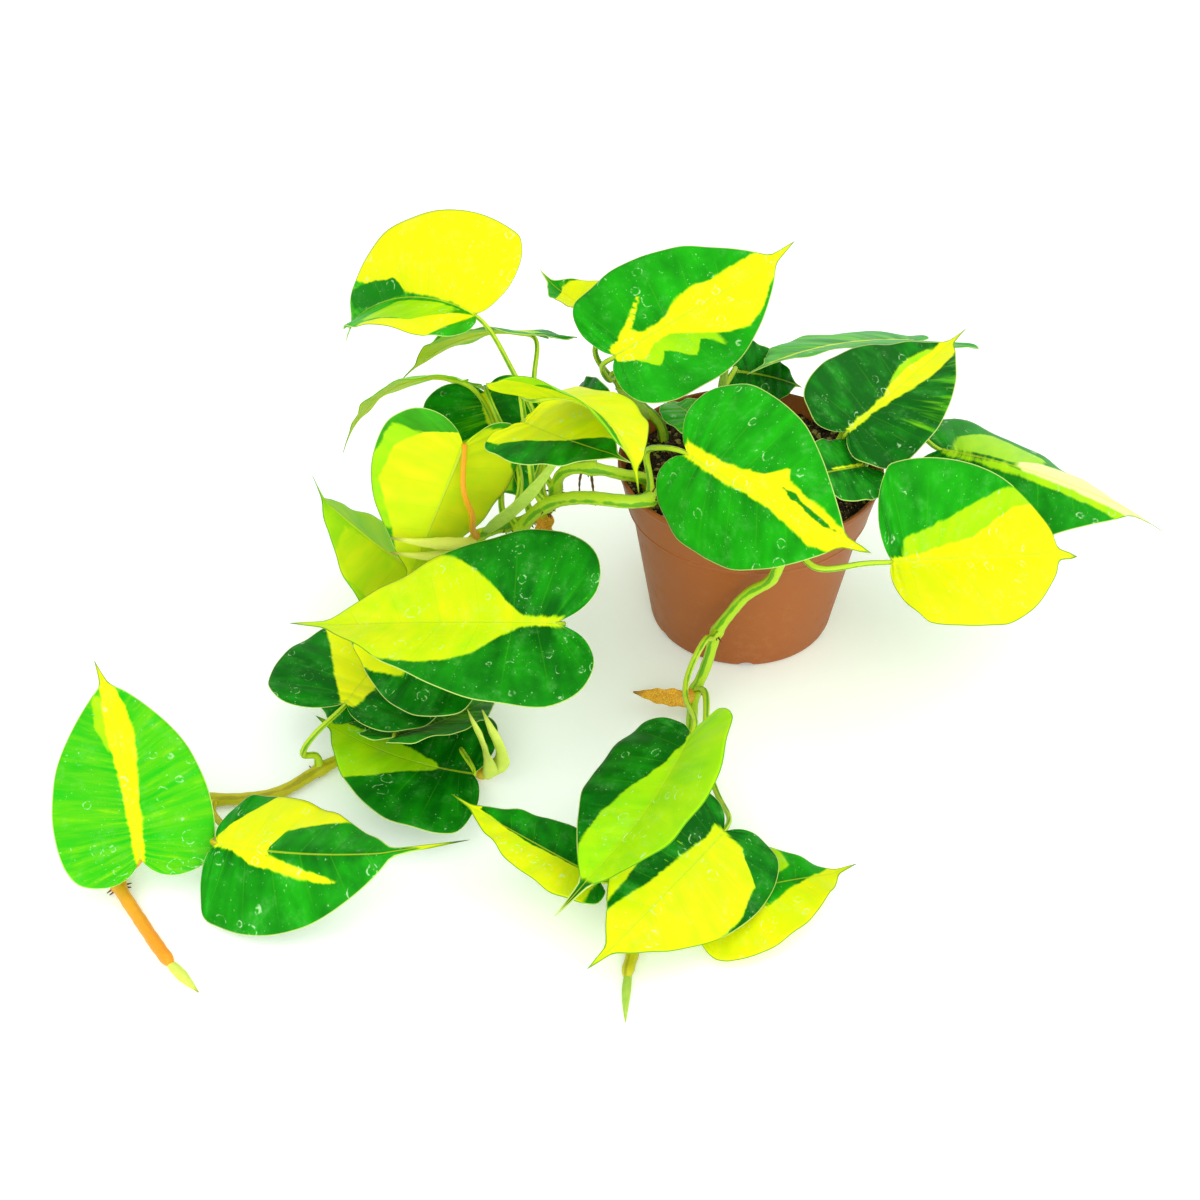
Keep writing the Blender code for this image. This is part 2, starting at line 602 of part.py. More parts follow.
def leaf_places(leaf, across_shares, rows):
    # points of the blade's middle surface, one for each share across and each outline row
    length, half = leaf["length"], leaf["width"] / 2
    rows = np.array(rows)
    share = np.abs(across_shares)
    x = rows[:, 0] * across_shares * half
    y = rows[:, 2] * (1 - share) + rows[:, 1] * share
    y = np.where(y < 0, y * leaf["lobes"], y)
    z = np.abs(x) * math.tan(math.radians(leaf["fold"])) - 0.1 * half * (x / half) ** 2
    on_midrib = np.clip(y, 0, 1)
    twist = math.radians(leaf["twist"]) * on_midrib
    x, z = x * np.cos(twist) + z * np.sin(twist), z * np.cos(twist) - x * np.sin(twist)

    # the midrib, as short steps that turn down by droop and sideways by side
    steps = np.linspace(0, 1, MIDRIB_STEPS + 1)
    middle = (steps[1:] + steps[:-1]) / 2
    down, turn = -math.radians(leaf["droop"]), math.radians(leaf["side"])
    size = length / MIDRIB_STEPS
    line_x = np.concatenate([[0], np.cumsum(np.cos(down * middle) * np.sin(turn * middle))]) * size
    line_y = np.concatenate([[0], np.cumsum(np.cos(down * middle) * np.cos(turn * middle))]) * size
    line_z = np.concatenate([[0], np.cumsum(np.sin(down * middle))]) * size

    beyond = y + leaf["tip"] * np.clip((y - LEAF_TIP) / (1 - LEAF_TIP), 0, 1) ** 2 - on_midrib
    beyond = beyond * length
    a, b = down * on_midrib, turn * on_midrib
    ahead = beyond * np.cos(a) - z * np.sin(a)
    px = np.interp(on_midrib, steps, line_x) + x * np.cos(b) + ahead * np.sin(b)
    py = np.interp(on_midrib, steps, line_y) - x * np.sin(b) + ahead * np.cos(b)
    pz = np.interp(on_midrib, steps, line_z) + beyond * np.sin(a) + z * np.cos(a)
    across, along, up = leaf_frame(leaf)
    return np.array(leaf["base"], float) + np.outer(px, across) + np.outer(py, along) + np.outer(pz, up)


def build_blade(name, leaf):
    # a thin sheet of triangles, copied above and below and joined round the edge
    sheet = bmesh.new()
    grid = []
    for share in ACROSS:
        places = leaf_places(leaf, share, HALF_OUTLINE)
        grid.append([sheet.verts.new(place) for place in places])
    for left, right in zip(grid, grid[1:]):
        for k in range(len(HALF_OUTLINE) - 1):
            if ACROSS[grid.index(left)] < 0:
                sheet.faces.new((left[k], right[k], right[k + 1]))
                sheet.faces.new((left[k], right[k + 1], left[k + 1]))
            else:
                sheet.faces.new((left[k], right[k], left[k + 1]))
                sheet.faces.new((right[k], right[k + 1], left[k + 1]))
    bmesh.ops.remove_doubles(sheet, verts=sheet.verts, dist=0.02)
    sheet.normal_update()
    sheet.verts.index_update()
    offset = LEAF_THICKNESS / 2
    above = [np.array(v.co + v.normal * offset) for v in sheet.verts]
    below = [np.array(v.co - v.normal * offset) for v in sheet.verts]
    count = len(above)
    faces = []
    for face in sheet.faces:
        corners = [v.index for v in face.verts]
        faces.append(tuple(corners))
        faces.append(tuple(count + c for c in reversed(corners)))
    for edge in sheet.edges:
        if edge.is_boundary:
            loop = edge.link_loops[0]
            a, b = loop.vert.index, loop.link_loop_next.vert.index
            faces.append((b, a, a + count))
            faces.append((b, a + count, b + count))
    sheet.free()
    return make_object(name, above + below, faces)


def stalk_path(leaf):
    # from just clear of the stem, square to it, through the bends to the blade and on below its midrib
    stem = STEMS[leaf["stem"]]
    path = np.array(stem["path"], dtype=float)
    node = leaf["node"]
    centre = path[node]
    ahead = path[min(node + 1, len(path) - 1)] - path[node - 1]
    first = np.array(leaf["via"][0] if leaf["via"] else leaf["base"], dtype=float)
    start = first - centre
    if node < len(path) - 1:
        axis = unit(ahead)
        start = start - axis * start.dot(axis)
    start = unit(start)
    clear = stem_radius(stem, centre) + GAP
    reach = min(4.0, 0.35 * np.linalg.norm(first - centre))
    points = [centre + start * clear, centre + start * (clear + reach)]
    points += [np.array(place, dtype=float) for place in leaf["via"]]
    along = leaf_places(leaf, 0.0, [(0.0, y, y) for y in (0.0, MIDRIB_REACH / 2, MIDRIB_REACH)])
    up = leaf_frame(leaf)[2]
    sink = LEAF_THICKNESS * 1.1         # the midrib stays below the upper side
    return points, [along[0] - up * sink, along[1] - up * sink, along[2] - up * sink * 0.8]


def build_leaf(name):
    leaf = LEAVES[name]
    points, midrib = stalk_path(leaf)
    path = smooth_path(points + midrib, STALK_STEP)
    # a second ring close to the first keeps the stalk's foot square to its start
    path = np.insert(path, 1, path[0] + 0.4 * (points[1] - points[0]), axis=0)
    reach = np.concatenate([[0], np.cumsum(np.linalg.norm(np.diff(path, axis=0), axis=1))])
    meets = reach[-1] - leaf["length"] * MIDRIB_REACH
    radii = []
    for place in reach:
        if place < meets:
            radii.append(STALK_BASE_RADIUS + (STALK_TOP_RADIUS - STALK_BASE_RADIUS) * place / meets)
        else:
            share = (place - meets) / (reach[-1] - meets)
            radii.append(STALK_TOP_RADIUS + (MIDRIB_END_RADIUS - STALK_TOP_RADIUS) * share)
    blade = build_blade(name, leaf)
    stalk = tube(name + "_stalk", path, radii, STALK_SIDES)
    combine(blade, [stalk], "UNION")
    finish(blade, leaf["colour"])


clear_scene()
build_pot()
build_soil()
for stem_name in STEMS:
    build_stem(stem_name)
for leaf_name in LEAVES:
    build_leaf(leaf_name)
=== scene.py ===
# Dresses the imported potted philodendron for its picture: fine variegated leaves, stems, pot,
# soil and studio. Lengths in the dictionaries are millimetres, as in the part's source.

import math

import bmesh
import bpy
import numpy as np
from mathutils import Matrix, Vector


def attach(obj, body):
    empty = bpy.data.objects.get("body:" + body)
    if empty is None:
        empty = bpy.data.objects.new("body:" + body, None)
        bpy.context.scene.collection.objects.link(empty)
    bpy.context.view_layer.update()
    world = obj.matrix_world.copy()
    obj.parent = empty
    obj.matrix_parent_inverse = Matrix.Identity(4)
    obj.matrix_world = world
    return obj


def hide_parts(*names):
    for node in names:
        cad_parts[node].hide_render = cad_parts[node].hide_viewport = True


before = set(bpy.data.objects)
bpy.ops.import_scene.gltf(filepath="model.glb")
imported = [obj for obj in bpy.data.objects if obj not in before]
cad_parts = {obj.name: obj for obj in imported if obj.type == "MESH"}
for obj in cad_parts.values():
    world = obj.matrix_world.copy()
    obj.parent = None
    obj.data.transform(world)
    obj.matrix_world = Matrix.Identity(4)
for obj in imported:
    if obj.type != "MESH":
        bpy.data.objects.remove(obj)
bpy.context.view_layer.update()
mm = 0.001
print("frame loaded:", len(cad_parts), "nodes")


# Node helpers. Those that take no tree work in the tree of the first socket that they are given.

def addNode(tree, kind, inputs=None, **settings):
    # a node with its settings, and each input either linked or given a value
    node = tree.nodes.new(kind)
    for name, value in settings.items():
        setattr(node, name, value)
    for name, value in (inputs or {}).items():
        if isinstance(value, bpy.types.NodeSocket):
            tree.links.new(value, node.inputs[name])
        else:
            node.inputs[name].default_value = value
    return node


def treeOf(*values):
    return next(value.id_data for value in values if isinstance(value, bpy.types.NodeSocket))


def doMath(operation, first, second=0.0, clamp=False):
    node = addNode(treeOf(first, second), "ShaderNodeMath", {0: first, 1: second},
                   operation=operation, use_clamp=clamp)
    return node.outputs[0]


def plus(first, second, clamp=False):
    return doMath("ADD", first, second, clamp)


def minus(first, second, clamp=False):
    return doMath("SUBTRACT", first, second, clamp)


def times(first, second, clamp=False):
    return doMath("MULTIPLY", first, second, clamp)


def larger(first, second):
    return doMath("MAXIMUM", first, second)


def unsigned(value):
    return doMath("ABSOLUTE", value)


def mixColour(factor, first, second):
    node = addNode(treeOf(factor), "ShaderNodeMix", {0: factor, 6: first, 7: second},
                   data_type="RGBA")
    return node.outputs[2]


def smoothStep(value, low, high, start=0.0, end=1.0):
    node = addNode(treeOf(value), "ShaderNodeMapRange",
                   {"Value": value, "From Min": low, "From Max": high,
                    "To Min": start, "To Max": end},
                   interpolation_type="SMOOTHSTEP")
    return node.outputs[0]


def noise(vector, scale, detail=2.0, roughness=0.5):
    node = addNode(treeOf(vector), "ShaderNodeTexNoise",
                   {"Vector": vector, "Scale": scale, "Detail": detail, "Roughness": roughness})
    return node.outputs[0]


def stretch(vector, amounts):
    node = addNode(treeOf(vector), "ShaderNodeVectorMath", {0: vector, 1: amounts},
                   operation="MULTIPLY")
    return node.outputs[0]


def splitVector(vector):
    return addNode(treeOf(vector), "ShaderNodeSeparateXYZ", {0: vector}).outputs


def joinVector(tree, x, y, z):
    return addNode(tree, "ShaderNodeCombineXYZ", {0: x, 1: y, 2: z}).outputs[0]


def readAttribute(tree, name, output="Fac"):
    return addNode(tree, "ShaderNodeAttribute", attribute_name=name).outputs[output]


def objectPlace(tree):
    # the place on the object, in millimetres
    return stretch(addNode(tree, "ShaderNodeTexCoord").outputs["Object"], (1 / mm,) * 3)


def newGroup(name, inputs, outputs):
    # an empty shader group with its sockets, and its two end nodes
    group = bpy.data.node_groups.new(name, "ShaderNodeTree")
    for socketName, kind, value in inputs:
        socket = group.interface.new_socket(socketName, in_out="INPUT",
                                            socket_type="NodeSocket" + kind)
        socket.default_value = value
    for socketName, kind in outputs:
        group.interface.new_socket(socketName, in_out="OUTPUT", socket_type="NodeSocket" + kind)
    given = group.nodes.new("NodeGroupInput").outputs
    return group, given, group.nodes.new("NodeGroupOutput").inputs


def useGroup(tree, group, inputs):
    return addNode(tree, "ShaderNodeGroup", inputs, node_tree=group).outputs


def newMaterial(name, **constants):
    # a material's tree and its Principled shader, with what is the same all over set on the shader
    material = bpy.data.materials.new(name)
    material.use_nodes = True
    tree = material.node_tree
    shader = tree.nodes["Principled BSDF"]
    for socket, value in constants.items():
        shader.inputs[socket.replace("_", " ")].default_value = value
    return material, tree, shader.inputs


def linkSurface(shader, colour, rough, height, distance):
    # colour, roughness and a bump of so many millimetres, each to its own socket
    tree = treeOf(colour)
    relief = addNode(tree, "ShaderNodeBump",
                     {"Height": height, "Distance": distance * mm, "Strength": 1.0})
    tree.links.new(colour, shader["Base Color"])
    tree.links.new(rough, shader["Roughness"])
    tree.links.new(relief.outputs[0], shader["Normal"])


def newShapeTree(name, inputs):
    # an empty Geometry Nodes tree, the identifiers of its inputs by name, and their sockets
    tree = bpy.data.node_groups.new(name, "GeometryNodeTree")
    tree.interface.new_socket("Geometry", in_out="INPUT", socket_type="NodeSocketGeometry")
    names = {}
    for socketName, kind in (*inputs, ("Skin", "Material")):
        socket = tree.interface.new_socket(socketName, in_out="INPUT",
                                           socket_type="NodeSocket" + kind)
        names[socketName] = socket.identifier
    tree.interface.new_socket("Geometry", in_out="OUTPUT", socket_type="NodeSocketGeometry")
    return tree, names, tree.nodes.new("NodeGroupInput").outputs


def endShapeTree(tree, geometry, given):
    whole = addNode(tree, "GeometryNodeRealizeInstances", {"Geometry": geometry})
    skinned = addNode(tree, "GeometryNodeSetMaterial",
                      {"Geometry": whole.outputs[0], "Material": given["Skin"]})
    end = tree.nodes.new("NodeGroupOutput")
    tree.links.new(skinned.outputs[0], end.inputs[0])


# Meshes, as arrays until the end: points, faces, the skin that they wear and values on the points

def addObject(name, data):
    made = bpy.data.objects.new(name, data)
    bpy.context.scene.collection.objects.link(made)
    return made


def readMesh(mesh, attributes, skin):
    points = np.empty(len(mesh.vertices) * 3)
    mesh.vertices.foreach_get("co", points)
    part = {"points": points.reshape(-1, 3) / mm,
            "faces": [tuple(polygon.vertices) for polygon in mesh.polygons], "skin": skin}
    for name in attributes:
        values = np.empty(len(mesh.vertices))
        mesh.attributes[name].data.foreach_get("value", values)
        part[name] = values
    return part


def smoothShade(mesh, sharpAngle):
    mesh.shade_smooth()
    mesh.set_sharp_from_angle(angle=math.radians(sharpAngle))


def makePiece(name, parts, sharpAngle):
    # one mesh object from its parts, at the origin, with its place in its mesh
    points = np.concatenate([part["points"] for part in parts])
    faces, indices, skins, start = [], [], [], 0
    for part in parts:
        faces += [tuple(i + start for i in face) for face in part["faces"]]
        if part["skin"] not in skins:
            skins.append(part["skin"])
        indices += [skins.index(part["skin"])] * len(part["faces"])
        start += len(part["points"])
    mesh = bpy.data.meshes.new(name)
    mesh.from_pydata((points * mm).tolist(), [], faces)
    for skin in skins:
        mesh.materials.append(skin)
    mesh.polygons.foreach_set("material_index", indices)
    for field in sorted({key for part in parts for key in part} - {"points", "faces", "skin"}):
        width = next(np.size(part[field]) // len(part["points"]) for part in parts if field in part)
        values = np.concatenate([
            np.reshape(part[field], (-1, width)) if field in part
            else np.zeros((len(part["points"]), width)) for part in parts])
        layer = mesh.attributes.new(field, "FLOAT" if width == 1 else "FLOAT_VECTOR", "POINT")
        layer.data.foreach_set("value" if width == 1 else "vector", values.ravel())
    smoothShade(mesh, sharpAngle)
    return addObject(name, mesh)


def settle(piece, node):
    # the piece stands for its CAD node and moves with the pot
    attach(piece, "root")
    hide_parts(node)


def unit(vector):
    return vector / np.linalg.norm(vector, axis=-1, keepdims=True)


def smoothPath(points, step):
    # a natural cubic curve through the points, read every step millimetres or so
    points = np.array(points, float)
    if len(points) == 2:
        points = np.array([points[0], points.mean(axis=0), points[1]])
    knots = np.concatenate([[0.0], np.cumsum(np.linalg.norm(np.diff(points, axis=0), axis=1))])
    count = len(points)
    matrix, right = np.eye(count), np.zeros((count, points.shape[1]))
    for i in range(1, count - 1):
        before, after = knots[i] - knots[i - 1], knots[i + 1] - knots[i]
        matrix[i, i - 1:i + 2] = (before, 2 * (before + after), after)
        right[i] = 6 * ((points[i + 1] - points[i]) / after - (points[i] - points[i - 1]) / before)
    bend = np.linalg.solve(matrix, right)
    places = np.linspace(0, knots[-1], max(3, int(knots[-1] / step) + 1))
    i = np.clip(np.searchsorted(knots, places, side="right") - 1, 0, count - 2)
    span = knots[i + 1] - knots[i]
    a, b = (knots[i + 1] - places) / span, (places - knots[i]) / span
    bow = (a ** 3 - a)[:, None] * bend[i] + (b ** 3 - b)[:, None] * bend[i + 1]
    bow = bow * (span ** 2)[:, None] / 6
    return a[:, None] * points[i] + b[:, None] * points[i + 1] + bow, places


def ringFaces(rings, sides):
    # the faces of a closed tube of rings, and its two flat ends
    faces = []
    for start in range(0, (rings - 1) * sides, sides):
        for k in range(sides):
            n = (k + 1) % sides
            faces.append((start + k, start + n, start + sides + n, start + sides + k))
    ends = range(sides - 1, -1, -1), range((rings - 1) * sides, rings * sides)
    return faces + [tuple(end) for end in ends]


# Tubes along a path, by Geometry Nodes: stems, stalks and roots

def buildTubeTree():
    tree, names, given = newShapeTree("tubeAlongPath", [("Sides", "Int")])
    curve = addNode(tree, "GeometryNodeMeshToCurve", {"Mesh": given["Geometry"]})
    radius = addNode(tree, "GeometryNodeInputNamedAttribute", {"Name": "radius"}, data_type="FLOAT")
    ring = addNode(tree, "GeometryNodeCurvePrimitiveCircle",
                   {"Resolution": given["Sides"], "Radius": mm})
    # where a point is round the tube, for stripes that run along it
    index = addNode(tree, "GeometryNodeInputIndex").outputs[0]
    turn = doMath("DIVIDE", times(index, 2 * math.pi), given["Sides"])
    ring = addNode(tree, "GeometryNodeStoreNamedAttribute",
                   {"Geometry": ring.outputs[0], "Name": "stripe", "Value": doMath("COSINE", turn)},
                   data_type="FLOAT", domain="POINT")
    body = addNode(tree, "GeometryNodeCurveToMesh",
                   {"Curve": curve.outputs[0], "Profile Curve": ring.outputs[0],
                    "Scale": radius.outputs[0], "Fill Caps": True})
    endShapeTree(tree, body.outputs[0], given)
    return tree, names


tubeTree, tubeInputs = buildTubeTree()


def runNodes(source, tree, values):
    # gives the modifier its inputs, evaluates the object once and returns the plain mesh
    modifier = source.modifiers.new("shape", "NODES")
    modifier.node_group = tree
    for identifier, value in values.items():
        modifier[identifier] = value
    depsgraph = bpy.context.evaluated_depsgraph_get()
    mesh = bpy.data.meshes.new_from_object(source.evaluated_get(depsgraph))
    source.modifiers.clear()
    bpy.data.objects.remove(source)
    return mesh


def tubeAlong(path, radius, sides, skin, **fields):
    # fields holds other values on the path's points
    mesh = bpy.data.meshes.new("path")
    mesh.from_pydata((path * mm).tolist(), [(i, i + 1) for i in range(len(path) - 1)], [])
    for name, values in {"radius": radius, **fields}.items():
        field = mesh.attributes.new(name, "FLOAT", "POINT")
        field.data.foreach_set("value", np.asarray(values, float))
    made = runNodes(addObject("path", mesh), tubeTree,
                    {tubeInputs["Sides"]: sides, tubeInputs["Skin"]: skin})
    part = readMesh(made, [*fields, "stripe"], skin)
    bpy.data.meshes.remove(made)
    return part


ribbonBuild = {
    "sides": 16,
    "step": 0.8,
    "flat": 0.2,            # thickness, as a share of the width
    "gutter": 0.35,         # how far it curls up at its edges
    "neck": 0.12,           # its width at the ends, as a share of the whole
}


def ribbonAlong(points, width, dryness, turn, crumple, skin):
    # a sheath or scale: a flat spindle, widest near its base, pointed at its end and curled like
    # a gutter. turn rolls it about its length, in degrees, and crumple makes it dry and uneven.
    sides, neck = ribbonBuild["sides"], ribbonBuild["neck"]
    path, places = smoothPath(points, ribbonBuild["step"])
    share = places / places[-1]
    spindle = np.sin(math.pi * np.clip(share ** 0.75 * 0.9 + 0.1, 0, 1))
    half = width / 2 * (neck + (1 - neck) * spindle)
    half = half * (1 + crumple * 0.2 * np.sin(places * 0.37) * np.sin(places * 0.61 + 1))
    tangents = unit(np.gradient(path, axis=0))
    side = np.cross(tangents[0], (0.0, 0.0, 1.0))
    angle = np.linspace(0, 2 * math.pi, sides, endpoint=False)
    rings = []
    for index, (centre, tangent, reach) in enumerate(zip(path, tangents, half)):
        side = unit(side - tangent * side.dot(tangent))
        across = np.cross(tangent, side)
        roll = math.radians(turn) + crumple * 0.5 * math.sin(index * 0.21)
        wide = side * math.cos(roll) + across * math.sin(roll)
        deep = across * math.cos(roll) - side * math.sin(roll)
        depth = ribbonBuild["flat"] * np.sin(angle)
        depth = depth + ribbonBuild["gutter"] * (np.cos(angle) ** 2 - 0.5)
        depth = (depth + crumple * 0.3 * np.sin(angle * 2 + index * 0.17)) * reach
        rings.append(centre + np.outer(np.cos(angle) * reach, wide) + np.outer(depth, deep))
    return {"points": np.concatenate(rings), "faces": ringFaces(len(rings), sides), "skin": skin,
            "along": np.repeat(share, sides), "dryness": np.full(len(rings) * sides, dryness)}


# Half of a flat leaf's outline, from the stalk round the lobe to the tip: share of the half width,
# share of the length, and the place on the midrib where the side vein that ends there begins
halfOutline = (
    (0.00, 0.00, 0.00),
    (0.14, -0.10, 0.00),
    (0.46, -0.17, 0.00),
    (0.80, -0.12, 0.04),
    (0.98, 0.04, 0.10),
    (0.99, 0.26, 0.21),
    (0.87, 0.46, 0.37),
    (0.61, 0.65, 0.55),
    (0.33, 0.80, 0.72),
    (0.09, 0.93, 0.89),
    (0.00, 1.00, 1.00),
)

# Stems: the path of each, with its leaf nodes as indices into the path
stems = {
    "stem_left": dict(
        radius=2.6,
        slot="stem",
        nodes=(5, 8, 9, 10, 11, 12, 13, 15, 17, 20, 24),
        path=(
            (-46, -13, 64), (-46, -13, 78), (-48, -14, 86), (-57, -18, 91.5), (-64, -20, 95),
            (-72, -20, 96.5), (-81, -17, 94), (-86, -14, 88), (-88, -13, 80), (-91, -12, 70),
            (-99, -10, 62), (-111, -11, 58), (-124, -14, 54), (-138, -30, 37), (-151, -60, 13),
            (-165, -88, 5), (-178, -104, 3.4), (-189, -113, 3.6), (-204, -126, 3.4),
            (-218, -130, 3.4), (-232, -131, 3.6), (-250, -135, 3.4), (-263, -146, 3.4),
            (-268, -160, 3.4), (-262, -177, 3.6), (-250, -194, 3.2), (-238, -210, 3.0),
            (-233, -216, 2.8),
        ),
    ),
    "stem_middle": dict(
        radius=3.0,
        slot="stem",
        nodes=(3, 7, 8, 9, 11, 13),
        path=(
            (-40, -22, 64), (-40, -22, 78), (-41, -24, 84), (-46, -36, 92), (-52, -41, 94),
            (-68, -39, 94), (-79, -33, 90), (-92, -25, 80), (-104, -20, 62), (-114, -28, 40),
            (-124, -56, 22), (-131, -76, 10), (-129, -93, 4.2), (-124, -106, 4), (-118, -118, 4),
        ),
    ),
    "stem_front": dict(
        radius=2.5,
        slot="stem",
        nodes=(5, 11, 14, 18, 20),
        path=(
            (6, -30, 64), (6, -30, 78), (7, -34, 86), (9, -50, 92), (9, -60, 92),
            (9, -67, 87), (7, -69, 79), (5, -67.5, 72), (-1, -64, 64), (-6, -62, 57),
            (-11, -60.5, 47), (-16, -60.5, 37), (-19, -63.5, 26), (-22, -67, 17), (-25, -70, 10),
            (-27, -82, 4.5), (-29, -98, 3.3), (-38, -131, 3.2), (-46, -165, 3.3),
            (-49, -178, 3.1), (-50, -191, 3.2), (-55, -210, 3), (-58, -222, 2.7),
        ),
    ),
    "stem_crown_right": dict(
        radius=2.4,
        slot="young_stem",
        nodes=(2, 3, 4),
        path=((38, 2, 64), (38, 2, 78), (39, 3, 86), (41, 4, 94), (43, 5, 102)),
    ),
    "stem_crown_back": dict(
        radius=2.4,
        slot="young_stem",
        nodes=(4, 5),
        path=(
            (-38, 28, 64), (-38, 28, 78), (-40, 30, 86), (-49, 34, 94), (-57, 37, 101),
            (-61, 38, 109),
        ),
    ),
    "stem_crown_middle": dict(
        radius=2.2,
        slot="young_stem",
        nodes=(3, 4),
        path=((-12, 20, 64), (-12, 20, 78), (-13, 21, 88), (-14, 23, 98), (-13, 26, 106)),
    ),
}


# Leaves

leafBuild = {
    "columns": 33,              # points from edge to edge
    "rowsPerKnot": 6,           # rows between two points of the outline
    "thickness": 0.5,
    "edgeThickness": 0.26,
    "edgeReach": 1.2,           # how far in from the edge the blade thins
    "waveHeight": 0.65,         # of the edge, up and down
    "waves": 5.0,
    "quilt": 0.3,               # the blade stands up between its side veins by this much
    "sideVeins": 9.0,
    "crease": 1.3,              # half width of the softened fold at the midrib
    "cupping": 0.1,             # how far the edges sink, as a share of the half width
    "midribSteps": 80,
    "pointStart": 0.9,          # share of the length where the drawn-out point begins
    "pinch": (0.4, 0.93, 0.05),     # how much narrower the point is, and where
    "curlStart": 0.84,          # share of the length where the tip begins to curl
    "stalkRadius": (1.6, 1.05),     # at its foot and where it meets the blade
    "stalkFlare": (0.6, 2.2),   # how much thicker the stalk's foot is, and how far up
    "stalkSides": 14,
    "stalkStep": 1.6,
    "seam": 0.012,              # points closer than this become one
    "sharpAngle": 55,
}

# the midrib below the blade: share of the length, and the depth of its middle
midribDepth = (
    (0.0, 0.88), (0.08, 0.8), (0.16, 0.6), (0.3, 0.4), (0.5, 0.3), (0.7, 0.24), (0.84, 0.2),
)

# how far a leaf's very tip curls up and turns to the right
tipCurls = {
    "leaf_pot_front": (1.5, -1.0), "leaf_pot_top": (2.5, -2.0), "leaf_back_right": (1.5, 1.0),
    "leaf_right": (-2.0, 1.5), "leaf_far_right": (-2.0, -1.0), "leaf_left_high": (-2.0, -1.5),
    "leaf_left_raised": (-4.0, -2.5), "leaf_left_front": (1.5, 1.0), "leaf_end_large": (1.5, -2.0),
    "leaf_end_front": (1.0, -2.0), "leaf_front_large": (-1.5, -1.0),
    "leaf_front_behind": (2.0, -1.0), "leaf_front_lower": (-1.0, 1.0),
    "leaf_front_right": (3.0, -1.5), "leaf_rim_left": (-1.0, 1.0),
    "leaf_rim_below": (-1.5, 0.5), "leaf_left_low": (1.0, 1.5), "leaf_back_left": (1.5, 1.0),
}

# stalks that are flushed orange-brown, and how much
stalkTones = {
    "leaf_end_large": 0.85, "leaf_left_under": 0.8, "leaf_front_right": 0.2,
    "leaf_end_front": 0.35,
}

